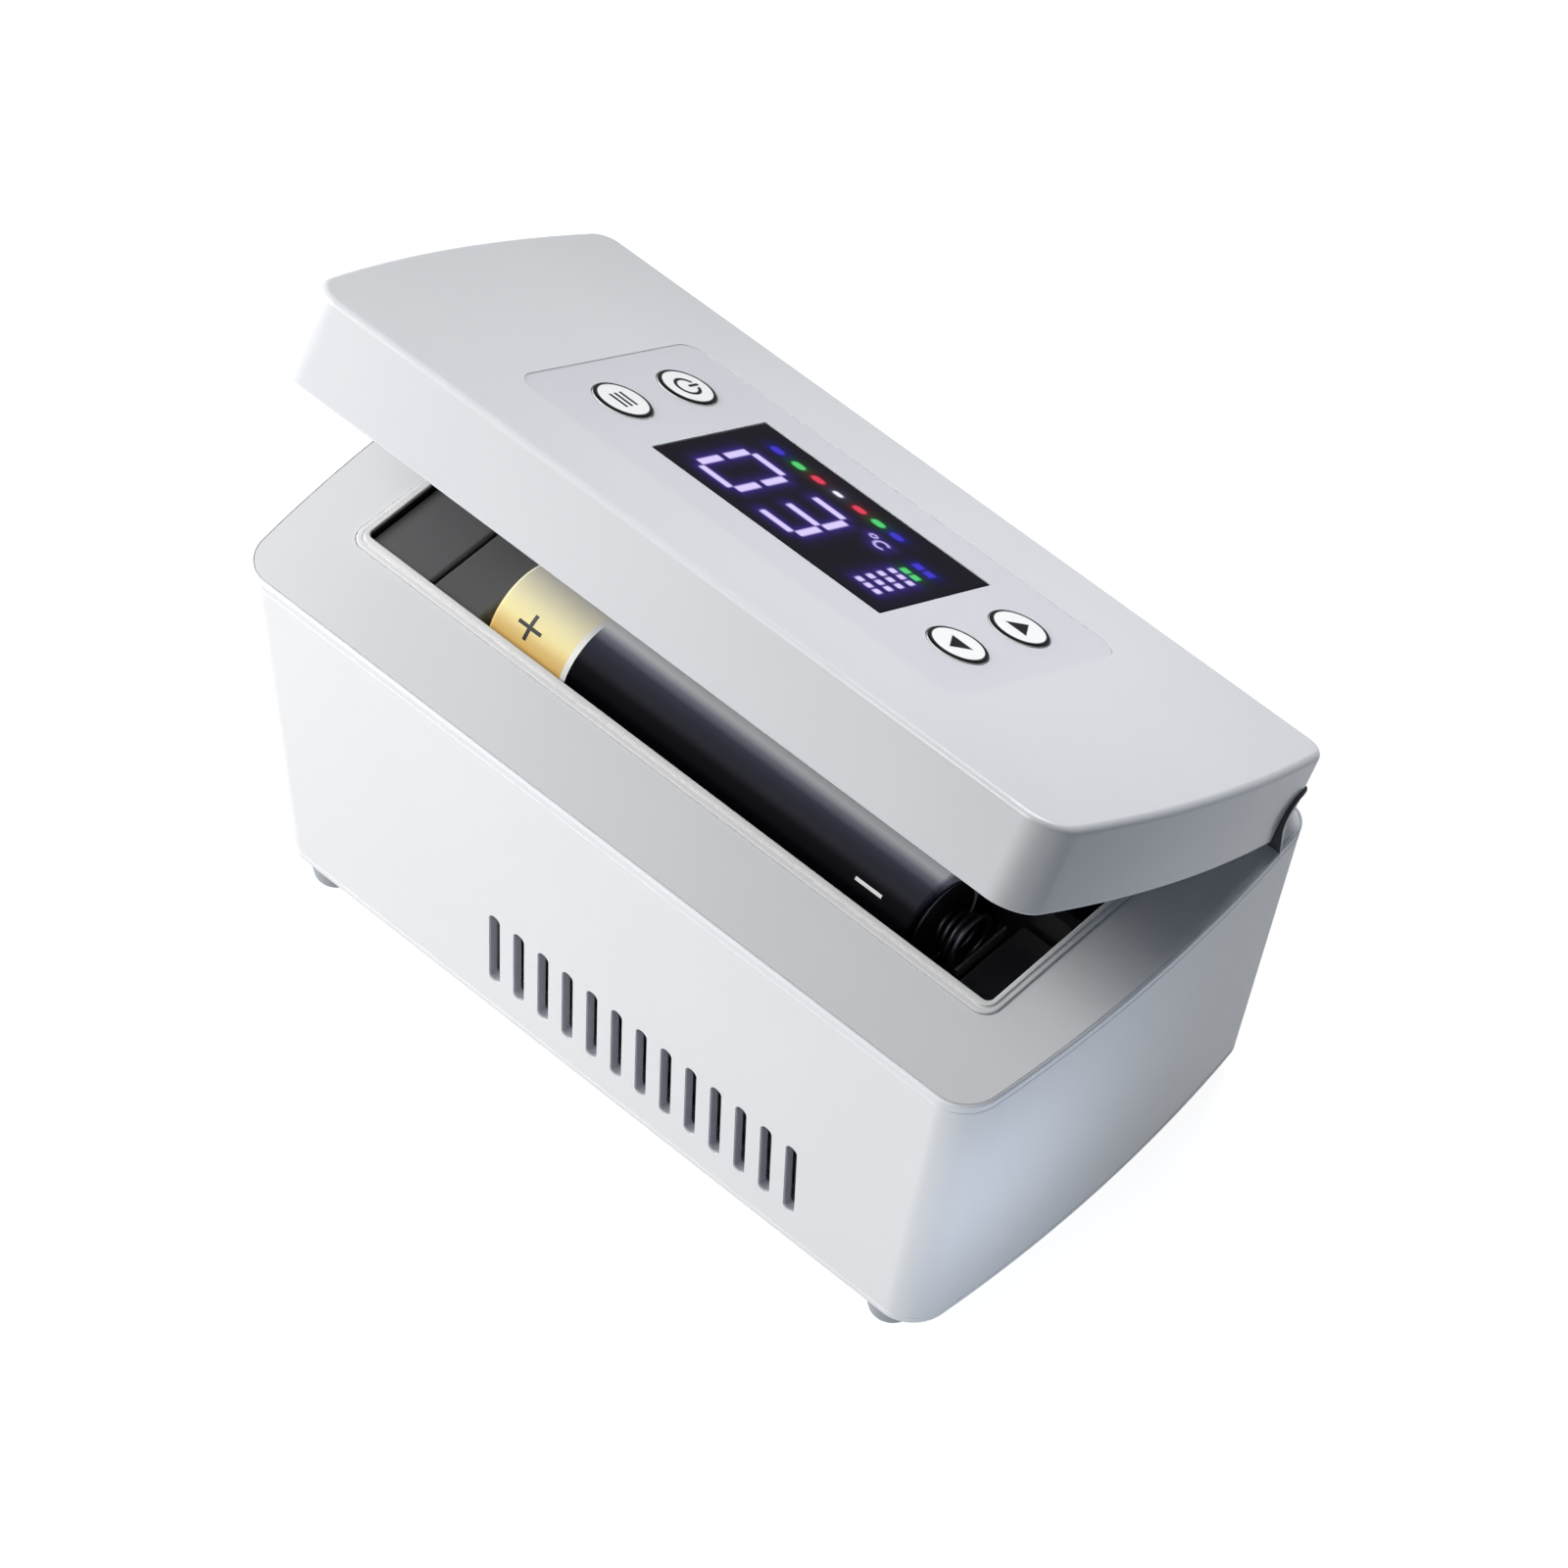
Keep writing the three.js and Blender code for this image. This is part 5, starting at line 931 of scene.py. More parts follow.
@dataclass
class Deck:
    """Light grey deck with the round hinge ridge, the well's opening and its white trim."""

    maker: Maker
    edge_radius: float = 0.7
    liner_wall: float = 1.8
    pocket_drop: float = 4.6
    pocket_top: float = 0.5
    pocket_rear_y: float = 57.0
    pin_reach: float = 9.0
    skirt_drop: float = 5.0
    skirt_overlap: float = 1.0
    ridge_sink: float = 0.4
    trim_end: float = 2.3
    trim_side: float = 3.1
    trim_height: float = 0.8
    groove: float = 0.35
    groove_depth: float = 0.5
    groove_over: float = 2.0
    edge_line_inset: float = 0.65
    edge_line: float = 0.22
    seal: float = 0.16
    seal_sink: float = 0.05
    seal_gap: float = 0.4
    seal_end: float = 0.1
    seal_turn: Pair = (52.0, 180.0)

    def opening(self, grow: float) -> np.ndarray:
        """The trim's outer outline grown by a groove's width, or below zero its inner outline.

        Args:
            grow: Below zero for the inner outline, else how far beyond the trim's outer edge.

        Returns:
            An (n, 2) array.
        """
        end = self.trim_end + grow if grow >= 0 else 0.0
        side = self.trim_side + grow if grow >= 0 else 0.0
        spans = (grown(SIZES.well_x, end), grown(SIZES.well_y, side))
        return rounded_rectangle(*spans, SIZES.well_corner + end, 10)

    def grooves(self) -> Steps:
        """Cuts for the fine groove round the trim and for the line along the deck's edge.

        Returns:
            A step for each of the two.
        """
        deep = SIZES.half_depth
        line = [
            plan_outline(SIZES.half_length, -deep, deep, self.edge_line_inset + width)
            for width in (self.edge_line, 0.0)
        ]
        pairs = (((self.opening(0.0), self.opening(self.groove)), self.groove_depth), (line, self.groove))
        cutters = []
        for (inner, outer), depth in pairs:
            low = SIZES.deck_z - depth
            high = SIZES.deck_z + self.groove_over
            cutters.append(carried(inner, outer, ((1, low), (1, high), (0, high), (0, low))))
        return cut(*cutters)

    def reach(self, y: np.ndarray) -> np.ndarray:
        """How far the deck's plan reaches along X near the rear.

        The half length at y is (half length) * (1 - bulge / half length * (y / half depth)^2), less the
        rounding of the rear corner, r - sqrt(r^2 - (y - (depth - r))^2).

        Args:
            y: Places across the deck.

        Returns:
            An array like y.
        """
        radius = SIZES.rear_corner
        into = np.clip(y - (SIZES.half_depth - radius), 0, radius)
        drawn_in = radius - np.sqrt(radius**2 - into**2)
        scale = 1 - SIZES.end_bulge / SIZES.half_length * (y / SIZES.half_depth) ** 2
        return (SIZES.half_length - drawn_in) * scale

    def ridge(self) -> Surface:
        """The ridge: upright sides and a half round about the hinge line, inside the deck's plan.

        The round part is hinge + radius * (cos, sin) over half a turn. Each point of the section runs
        along X as far as the plan lets it.

        Returns:
            The surface.
        """
        radius = SIZES.ridge_radius
        foot = [[SIZES.hinge[0] + side * radius, SIZES.deck_under_z + self.ridge_sink] for side in (-1, 1)]
        section = np.concatenate([foot, arc(SIZES.hinge, radius, np.linspace(0, math.pi, 49))])
        reach = self.reach(section[:, 0])
        rings = [np.column_stack([share * reach, section]) for share in np.linspace(-1, 1, 3)]
        return skin(np.stack(rings))

    def plate(self) -> None:
        """The deck: plate, skirt and ridge, less the well's opening, the knuckles' pockets and bores."""
        under_z = SIZES.deck_under_z
        over = SIZES.overrun
        inset = SIZES.wall + SIZES.fit
        inside = inset + SIZES.lip_wall
        skirt_z = under_z - self.skirt_drop
        reach = self.liner_wall
        spans = (grown(SIZES.well_x, reach), grown(SIZES.well_y, reach))
        well = rounded_rectangle(*spans, SIZES.well_corner + reach)
        steps = join(body_loft([(skirt_z, inset), (under_z + self.skirt_overlap, inset)]))
        steps += cut(body_loft([(skirt_z - over, inside), (under_z, inside)])) + self.grooves()
        steps += join(self.ridge()) + cut(prism("z", well, skirt_z - over, SIZES.deck_z + over))
        hinge_y, hinge_z = SIZES.hinge
        for x in SIZES.knuckle_x:
            span = about(x, SIZES.knuckle_length / 2 + SIZES.fit)
            pocket_z = (hinge_z - self.pocket_drop, hinge_z + SIZES.notch_radius + self.pocket_top)
            steps += cut(
                rod("x", SIZES.hinge, span, SIZES.notch_radius, SIZES.hinge_facets),
                box(span, (hinge_y, self.pocket_rear_y), pocket_z),
                rod("x", SIZES.hinge, grown(span, self.pin_reach), SIZES.bore_radius),
            )
        top = body_loft(rounding_under(under_z, SIZES.seam) + rounding(SIZES.deck_z, self.edge_radius))
        self.maker.piece("deck_plate", top, "deck_plastic", ["top_deck"], steps, soften=0.1)

    def trim(self) -> None:
        """The white ring round the well: its section is carried round the opening.

        The section has a low outer flange, a fine groove and a higher inner bead with rounded edges.
        """
        edge = 0.12
        angle = np.linspace(0, math.pi / 2, 5)
        step = ((0.62, 0.6, 0.48, 0.46, 0.42), (0.55, 0.2, 0.2, 0.85, 1.0))
        out = 1 - edge + edge * np.cos(angle)
        share = np.concatenate([[1.0], out, step[0], edge - edge * np.sin(angle), [0.0]])
        outer_rise = 0.25 + 0.3 * np.sin(angle)
        rise = np.concatenate([[0.0], outer_rise, step[1], 0.6 + 0.4 * np.cos(angle), [0.0]])
        section = zip(share, SIZES.deck_z + rise * self.trim_height)
        ring = carried(self.opening(-1.0), self.opening(0.0), section)
        self.maker.piece("well_trim", ring, "white_plastic", ["compartment_trim"])

    def seals(self) -> None:
        """Thin black strips on the ridge's front and crown, which close the lid's notch, between the pockets.

        The section lies between two arcs about the hinge line, hinge + radius * (cos, sin), and runs down
        the ridge's upright front to the deck.
        """
        angle = np.radians(np.linspace(*self.seal_turn, 33))
        radii = (SIZES.ridge_radius - self.seal_sink, SIZES.ridge_radius + self.seal)
        arcs = [arc(SIZES.hinge, radius, turn) for radius, turn in zip(radii, (angle[::-1], angle))]
        foot = [[SIZES.hinge[0] - radius, SIZES.deck_z - self.seal_end] for radius in radii[::-1]]
        section = np.concatenate([*arcs, foot])
        pocket = about(SIZES.knuckle_x[1], SIZES.knuckle_length / 2 + SIZES.fit + self.seal_gap)
        near, far = (np.full(len(section), x) for x in pocket)
        end = self.reach(section[:, 0]) - self.seal_end
        spans = {"left": (-end, -far), "middle": (-near, near), "right": (far, end)}
        for side, span in spans.items():
            strip = skin(np.stack([np.column_stack([x, section]) for x in span]))
            self.maker.piece(f"hinge_seal_{side}", strip, "seal_rubber")

    def make(self) -> None:
        """Builds and dresses the whole sub-assembly."""
        self.plate()
        self.trim()
        self.seals()


@dataclass
class CellLane:
    """The long cell with its printed sleeve, its caps, the contact blocks and the cone spring."""

    maker: Maker
    cell_x: Pair = (-53.0, 61.5)
    cell_radius: float = 12.0
    shoulder: float = 1.0
    spring_turns: float = 4.0
    wire_radius: float = 0.5
    spring_radii: Pair = (3.4, 7.0)
    spring_x: Pair = (62.3, 71.3)
    block_edge: float = 0.8
    mark_sink: float = 0.02
    mark_rise: float = 0.04

    def along_x(self, profile: Iterable[Pair], steps: int = 128) -> Surface:
        """A turned solid on the cell's axis: each (radius, x) of the profile becomes an upright ring."""
        at = (SIZES.lane_y, SIZES.cell_z)
        return skin(np.stack([lifted(circle(at, radius, steps), x)[:, [2, 0, 1]] for radius, x in profile]))

    def sleeve(self) -> None:
        """The cell: a round body whose sleeve rolls over both ends and leaves a small step round the caps."""
        start, stop = self.cell_x
        angle = np.linspace(0, math.pi / 2, 9)
        shoulder = self.shoulder
        base = self.cell_radius - shoulder
        left = [(base - 1.2, start + 0.25), (base - 0.8, start)]
        left += [(base + shoulder * math.sin(a), start + shoulder * (1 - math.cos(a))) for a in angle]
        right = [(radius, stop - (x - start)) for radius, x in left][::-1]
        body = np.linspace(start + shoulder, stop - shoulder, 60)[1:-1]
        profile = left + [(self.cell_radius, float(x)) for x in body] + right
        self.maker.piece("cell_in_sleeve", self.along_x(profile), "cell_sleeve", ["battery_cell"])

    def caps(self) -> None:
        """The positive button and the flat negative end, both with rounded edges."""
        start, stop = self.cell_x
        button = [(3.1, start - 1.4), (3.45, start - 1.25), (3.6, start - 1.0), (3.6, start)]
        self.maker.piece("cell_button", self.along_x(button, 64), "nickel", ["battery_positive_cap"])
        flat = self.along_x([(9.5, stop), (9.5, stop + 0.3), (9.3, stop + 0.5)], 96)
        # The flat end takes nickel darkened as painted shade.
        self.maker.piece("cell_base", flat, "nickel", ["battery_negative_cap"], look="shade_darkened_nickel")

    def mark(self, x: Pair, turn: Pair) -> Surface:
        """A thin printed bar that lies on the sleeve.

        A point is the axis plus a radius times (sin t, cos t), where t turns from the crown to the front.

        Args:
            x: Where it starts and ends along X.
            turn: The lowest and highest t, in degrees, positive towards the front.

        Returns:
            The surface, which starts just inside the sleeve and stands a little proud of it.
        """
        angle = np.radians(np.linspace(turn[0], turn[1], 13))
        under = np.stack([np.full(len(angle), self.cell_radius - self.mark_sink), angle])
        over = np.stack([np.full(len(angle), self.cell_radius + self.mark_rise), angle])
        spread = np.concatenate([under, over[:, ::-1]], 1)
        y = SIZES.lane_y - spread[0] * np.sin(spread[1])
        z = SIZES.cell_z + spread[0] * np.cos(spread[1])
        return prism("x", np.stack([y, z], -1), *x)

    def marks(self) -> None:
        """The plus at the gold end and the minus at the other end: plain signs for the two poles."""
        upright_x = (-44.45, -43.55)
        plus = self.mark((-47.1, -40.9), (41.0, 45.0)) + self.mark(upright_x, (29.0, 40.9))
        self.maker.piece("plus_sign", plus + self.mark(upright_x, (45.1, 57.0)), "ink")
        self.maker.piece("minus_sign", self.mark((46.0, 53.0), (45.2, 48.8)), "pale_ink")

    def blocks(self) -> None:
        """The cover and the contact block at the gold end, and the low block behind the spring.

        Each fills the lane between two places along X, up to its height, with rounded upper edges.
        """
        places = {
            "terminal_cover": ((-85.6, -69.0), 90.1, "cover_plastic"),
            "contact_block": ((-68.7, -55.6), 89.3, "cover_plastic"),
            "negative_contact_block": ((72.5, 84.7), 82.5, "black_plastic"),
        }
        edge = self.block_edge
        y = (SIZES.well_y[0] + SIZES.fit, SIZES.lane_rear_y - SIZES.fit)
        for node, (x, top_z, slot) in places.items():
            stops = [(SIZES.lane_floor_z, 0.0), *rounding(top_z, edge, 6)]
            levels = [(rounded_rectangle(grown(x, -inset), grown(y, -inset), edge), z) for z, inset in stops]
            self.maker.piece(f"{node}_body", loft(levels), slot, [node])

    def spring(self) -> None:
        """The contact spring: a wire carried along a cone-shaped helix.

        The centre is (x, y, z) with x even along the axis, a radius that grows evenly, and y, z on a circle
        of that radius. Round each centre the wire's section is radius * (cos, sin) across the path.
        """
        steps = 320
        sides = 14
        share = np.linspace(0, 1, steps)
        angle = 2 * math.pi * self.spring_turns * share
        radius = self.spring_radii[0] + (self.spring_radii[1] - self.spring_radii[0]) * share
        start = self.spring_x[0] + self.wire_radius
        x = start + (self.spring_x[1] - self.spring_x[0] - 2 * self.wire_radius) * share
        outward = np.stack([np.zeros(steps), np.cos(angle), np.sin(angle)], -1)
        centre = np.stack([x, np.full(steps, SIZES.lane_y), np.full(steps, SIZES.cell_z)], -1)
        centre = centre + outward * radius[:, None]
        along = np.gradient(centre, axis=0)
        along /= np.linalg.norm(along, axis=1, keepdims=True)
        across = np.cross(along, outward)
        across /= np.linalg.norm(across, axis=1, keepdims=True)
        level = np.cross(across, along)
        turn = np.arange(sides) * (2 * math.pi / sides)
        rings = (
            centre[:, None, :]
            + self.wire_radius * np.cos(turn)[None, :, None] * level[:, None, :]
            - self.wire_radius * np.sin(turn)[None, :, None] * across[:, None, :]
        )
        # The spring takes nickel darkened as painted shade.
        self.maker.piece("contact_spring", skin(rings), "nickel", ["negative_spring"], look="shade_darkened_nickel")

    def make(self) -> None:
        """Builds and dresses the whole sub-assembly."""
        self.sleeve()
        self.caps()
        self.marks()
        self.blocks()
        self.spring()


@dataclass
class Lid:
    """Lid shell with its hinge notch and knuckles, and the rubber gasket under it."""

    maker: Maker
    half_length: float = 102.69
    front: float = -52.2
    rear: float = 49.2
    bottom_z: float = 91.8
    top_z: float = 111.8
    skin_z: float = 109.6
    hollow_z: float = 86.0
    inside_z: float = 110.7
    through_z: Pair = (105.0, 117.0)
    film_seat_z: float = 111.2
    window_seat_z: float = 110.4
    edge_radius: float = 1.6
    wall: float = 2.2
    cavity_rear: float = 37.6
    screw_x: Pair = (-93.0, 93.0)
    screw_y: Pair = (-38.0, 30.0)
    screw_z: Pair = (91.5, 104.9)
    screw_radius: float = 1.6
    boss_z: float = 96.6
    boss_radius: float = 3.2
    board_x: Pair = (-53.35, 52.65)
    board_y: Pair = (-24.65, 23.35)
    board_post_z: float = 103.7
    board_post_radius: float = 2.4
    knuckle_radius: float = 5.4
    neck: Pair = (3.2, 7.3)
    notch_far_y: float = 104.0
    notch_half: float = 208.0
    gasket_z: float = 92.6
    gasket_width: float = 3.0
    gasket_corner: float = 1.8
    gasket_height: float = 2.0
    gasket_bead: float = 1.2
    panel: tuple[float, float, float, float] = (-0.35, -1.2, 117.4, 60.6)
    panel_corner: float = 5.0
    window: tuple[float, float, float, float] = (0.15, -0.65, 60.9, 39.8)
    window_corner: float = 0.35
    window_gap: float = 0.15
    window_ledge: float = 1.6
    key_x: Pair = (-45.325, 44.625)
    key_y: Pair = (-11.8, 10.5)
    key_radius: float = 6.5

    def upright(self, stops: Iterable[Pair], rear: float) -> Surface:
        """A solid of the lid's plan between heights, with an inset at each."""
        return loft([(plan_outline(self.half_length, self.front, rear, inset), z) for z, inset in stops])

    def notch(self) -> Surface:
        """The cutter for the hinge: a quarter round about the hinge line, and all behind and below it.

        The round part is hinge + radius * (cos, sin) from straight up to straight forward.

        Returns:
            The surface.
        """
        radius = SIZES.notch_radius
        hinge_y, hinge_z = SIZES.hinge
        low = self.bottom_z - SIZES.overrun
        foot = [[hinge_y - radius, low], [self.notch_far_y, low], [self.notch_far_y, hinge_z + radius]]
        curve = arc(SIZES.hinge, radius, np.linspace(math.pi / 2, math.pi, 33))
        return prism("x", np.concatenate([foot, curve]), -self.notch_half, self.notch_half)

    def centred(self, plan: tuple[float, float, float, float], grow: float, radius: float) -> np.ndarray:
        """A rounded rectangle from a centre and two sizes, grown on every side.

        Args:
            plan: The centre's x and y, the length and the depth.
            grow: How far it is grown.
            radius: The corners' radius.

        Returns:
            An (n, 2) array.
        """
        x, y, length, depth = plan
        spans = (grown(about(x, length / 2), grow), grown(about(y, depth / 2), grow))
        return rounded_rectangle(*spans, radius, 12)

    def window_cutter(self, grow: float, bottom_z: float) -> Surface:
        """A cutter of the window's plan, grown on every side, from a height up through the lid's face."""
        outline = self.centred(self.window, grow, self.window_corner)
        return prism("z", outline, bottom_z, self.through_z[1])

    def key_places(self) -> dict[str, Pair]:
        """The keys' centres by name."""
        return {
            "set": (self.key_x[0], self.key_y[0]),
            "power": (self.key_x[0], self.key_y[1]),
            "right": (self.key_x[1], self.key_y[0]),
            "left": (self.key_x[1], self.key_y[1]),
        }

    def key_holes(self, bottom_z: float) -> Steps:
        """Cuts for the four keys, from a height up through the lid's face."""
        size = ((bottom_z, self.through_z[1]), self.key_radius + SIZES.fit, 96)
        return cut(*(rod("z", at, *size) for at in self.key_places().values()))

    def shell(self) -> None:
        """The shell: an upright loft with a round top edge, hollowed, notched and cut for its fittings."""
        wall = self.wall
        stops = rounding_under(self.bottom_z, 0.5) + rounding(self.top_z, self.edge_radius, 12)
        hollow = self.upright([(self.hollow_z, wall), (self.skin_z, wall)], self.cavity_rear + wall)
        steps = cut(hollow, self.notch())
        for y in self.screw_y:
            for x in self.screw_x:
                steps += join(rod("z", (x, y), (self.boss_z, self.inside_z), self.boss_radius))
                steps += cut(rod("z", (x, y), self.screw_z, self.screw_radius))
        post = ((self.board_post_z, self.inside_z), self.board_post_radius)
        for x in self.board_x:
            steps += join(*(rod("z", (x, y), *post) for y in self.board_y))
        hinge_y, hinge_z = SIZES.hinge
        neck_half, neck_top = self.neck
        for x in SIZES.knuckle_x:
            span = about(x, SIZES.knuckle_length / 2)
            steps += join(
                box(span, about(hinge_y, neck_half), (hinge_z, hinge_z + neck_top)),
                rod("x", SIZES.hinge, span, self.knuckle_radius, SIZES.hinge_facets),
            )
            steps += cut(rod("x", SIZES.hinge, grown(span, SIZES.overrun), SIZES.bore_radius))
        film_seat = self.centred(self.panel, 0.0, self.panel_corner)
        steps += cut(
            prism("z", film_seat, self.film_seat_z, self.through_z[1]),
            self.window_cutter(self.window_gap, self.window_seat_z),
            self.window_cutter(-self.window_ledge, self.through_z[0]),
        )
        steps += self.key_holes(self.through_z[0])
        shell = self.upright(stops, self.rear)
        self.maker.piece("lid_cover", shell, "lid_plastic", ["lid_shell"], steps, Drawn.LID, soften=0.1)

    def gasket(self) -> None:
        """The gasket: a soft bead with a round underside, carried round the well."""
        x = grown(SIZES.well_x, SIZES.fit)
        y = grown(SIZES.well_y, SIZES.fit)
        wide = self.gasket_width
        corner = self.gasket_corner
        inner = rounded_rectangle(x, y, corner, 10)
        outer = rounded_rectangle(grown(x, wide), grown(y, wide), corner + wide, 10)
        angle = np.linspace(0, math.pi, 13)
        share = np.concatenate([[1.0], 0.5 + 0.5 * np.cos(angle), [0.0]])
        bead = self.gasket_bead - self.gasket_bead * np.sin(angle)
        rise = np.concatenate([[self.gasket_height], bead, [self.gasket_height]])
        ring = carried(inner, outer, zip(share[::-1], self.gasket_z + rise[::-1]))
        self.maker.piece("lid_seal", ring, "seal_rubber", ["lid_gasket"], drawn=Drawn.LID)

    def make(self) -> None:
        """Builds and dresses the whole sub-assembly."""
        self.shell()
        self.gasket()


@dataclass(frozen=True)
class Mark:
    """A rounded bar of ink or light on the lid: its centre, its two sizes and its tint."""

    x: float
    y: float
    length: float
    width: float
    tint: Tint = Tint.VIOLET
    radius: float = 0.4

    def distance(self, points: np.ndarray) -> np.ndarray:
        """How far points lie outside the bar: length of max(|p - centre| - half size + r, 0), less r.

        Args:
            points: An (n, 2) array.

        Returns:
            An (n,) array, below zero inside the bar.
        """
        half = np.array([self.length / 2, self.width / 2]) - self.radius
        over = np.abs(points - np.array([self.x, self.y])) - half
        outside = np.linalg.norm(np.maximum(over, 0), axis=1)
        inside = np.minimum(np.max(over, axis=1), 0)
        return outside + inside - self.radius


@dataclass
class ControlPanel:
    """Silver film, smoked window with its lights, and four round keys."""

    maker: Maker
    lid: Lid
    film_top_z: float = 111.65
    film_cut_z: float = 106.0
    window_top_z: float = 111.6
    window_edge_drop: float = 0.12
    window_grid: tuple[int, int] = (260, 170)
    digit_x: Pair = (-17.9, -1.5)
    digit_y: float = -5.05
    digit_half: Pair = (5.1, 9.25)
    stroke: float = 1.9
    key_face_z: float = 112.1
    key_edge: float = 0.35
    key_ring_radius: float = 5.6
    core_fade: float = 0.5
    halo_fade: float = 1.1
    halo_strength: float = 0.5
    arrow_reach: float = 1.6
    power_ring: Pair = (2.7, 0.42)
    power_gap: float = 0.9
    ink_fade: float = 0.16
    ink_depth: float = 0.3

    def film(self) -> None:
        """The film: a thin rounded sheet with holes for the window and the keys."""
        lid = self.lid
        outline, face = (lid.centred(lid.panel, -shy, lid.panel_corner - shy) for shy in (0.05, 0.13))
        top = self.film_top_z
        sheet = loft([(outline, lid.film_seat_z), (outline, top - 0.08), (face, top)])
        steps = cut(lid.window_cutter(lid.window_gap, self.film_cut_z)) + lid.key_holes(self.film_cut_z)
        self.maker.piece("panel_film", sheet, "panel_film", ["control_panel"], steps, Drawn.LID)

    def digit(self, x: float, strokes: str) -> list[Mark]:
        """Bars of a seven-bar digit.

        Args:
            x: The digit's middle.
            strokes: Letters a to g of the bars that are lit, in the usual order.

        Returns:
            The bars.
        """
        wide, tall = self.digit_half
        level = 2 * wide - self.stroke * 1.2
        rise = tall - self.stroke
        y = self.digit_y
        bars = {letter: Mark(x, y + at, level, self.stroke) for letter, at in zip("agd", (tall, 0, -tall))}
        corners = zip("bcef", ((1, 1), (1, -1), (-1, -1), (-1, 1)))
        for letter, (side, up) in corners:
            bars[letter] = Mark(x + side * wide, y + up * tall / 2, self.stroke, rise)
        return [bars[letter] for letter in strokes]

    def lights(self) -> list[Mark]:
        """All lights behind the window: two digits, a row of dots, the degree sign and a row of bars.

        Returns:
            The bars of light.
        """
        marks = self.digit(self.digit_x[0], "abcdef") + self.digit(self.digit_x[1], "abcdg")
        row = (Tint.BLUE, Tint.GREEN, Tint.RED, Tint.WHITE, Tint.RED, Tint.GREEN, Tint.BLUE)
        for x, tint in zip((-21.4, -15.6, -10.3, -4.9, 0.9, 6.0, 11.0), row):
            length, width = (2.4, 1.5) if tint is Tint.WHITE else (3.2, 2.3)
            marks.append(Mark(x, 11.9, length, width, tint, width / 2 - 0.05))
        for a in np.radians(np.linspace(50, 310, 14)):
            marks.append(Mark(12.3 + 1.5 * math.cos(a), 4.6 + 1.7 * math.sin(a), 0.6, 0.6, radius=0.3))
        for a in np.radians(np.arange(0, 360, 45)):
            marks.append(Mark(9.2 + 0.75 * math.cos(a), 6.0 + 0.75 * math.sin(a), 0.5, 0.5, radius=0.25))
        for y in (-13.3, -9.4, -5.6, -1.7):
            marks += [Mark(x, y, 1.6, 1.9) for x in (20.0, 22.3, 24.6)]
        marks += [Mark(x, 1.7, 2.0, 2.1, Tint.GREEN) for x in (20.9, 23.5)]
        marks += [Mark(x, 6.6, 2.2, 2.4, Tint.BLUE) for x in (20.7, 23.6)]
        return marks

    def glow(self, points: np.ndarray) -> np.ndarray:
        """Light that reaches the window's face at some points.

        A bar's own colour counts fully inside and fades out over a short way at its edge, and its halo
        falls off as exp(-distance / fade). Where halos meet, the strongest one counts.

        Args:
            points: An (n, 2) array of x and y.

        Returns:
            An (n, 4) array of linear colour.
        """
        cores = np.zeros((len(points), 4))
        halos = np.zeros((len(points), 4))
        for mark in self.lights():
            away = mark.distance(points)
            core = np.clip(0.5 - away / self.core_fade, 0, 1)[:, None]
            halo = (1 - core) * np.exp(-np.maximum(away, 0) / self.halo_fade)[:, None]
            light, spread = mark.tint.value
            cores = np.maximum(cores, core * np.array(linear(light)))
            halos = np.maximum(halos, self.halo_strength * halo * np.array(linear(spread)))
        total = cores + halos
        total[:, 3] = 1
        return np.clip(total, 0, 1)

    def window(self) -> None:
        """The window: a fine grid for its face, so that its lights stay crisp, closed by walls and a back.

        Face point (i, j) is at even steps over the length and the depth. The outermost rows bend down
        for a soft edge.
        """
        x, y, length, depth = self.lid.window
        columns, rows = self.window_grid
        across = np.linspace(x - length / 2, x + length / 2, columns)
        up = np.linspace(y - depth / 2, y + depth / 2, rows)
        grid_x, grid_y = np.meshgrid(across, up)
        rest = np.full((rows, columns), self.window_top_z - self.window_edge_drop)
        rest[1:-1, 1:-1] = self.window_top_z
        face = np.stack([grid_x, grid_y, rest], -1).reshape(-1, 3)
        start = (np.arange(rows - 1)[:, None] * columns + np.arange(columns - 1)[None, :]).reshape(-1)
        faces = np.stack([start, start + 1, start + columns + 1, start + columns], -1).tolist()
        index = np.arange(rows * columns).reshape(rows, columns)
        rim = np.concatenate([index[0, :-1], index[:-1, -1], index[-1, :0:-1], index[:0:-1, 0]])
        under = lifted(face[rim, :2], self.lid.window_seat_z)
        low = np.arange(len(rim)) + len(face)
        walls = np.stack([low, np.roll(low, -1), np.roll(rim, -1), rim], -1).tolist()
        surface = Surface(np.concatenate([face, under]), faces + walls + [low[::-1].tolist()])
        made = self.maker.piece(
            "smoked_window", surface, "window_glass", ["display_window"], drawn=Drawn.LID
        )
        colours = np.concatenate([self.glow(face[:, :2]), np.tile([0.0, 0.0, 0.0, 1.0], (len(under), 1))])
        layer = made.data.attributes.new("glow", "FLOAT_COLOR", "POINT")
        layer.data.foreach_set("color", colours.astype(np.float32).ravel())

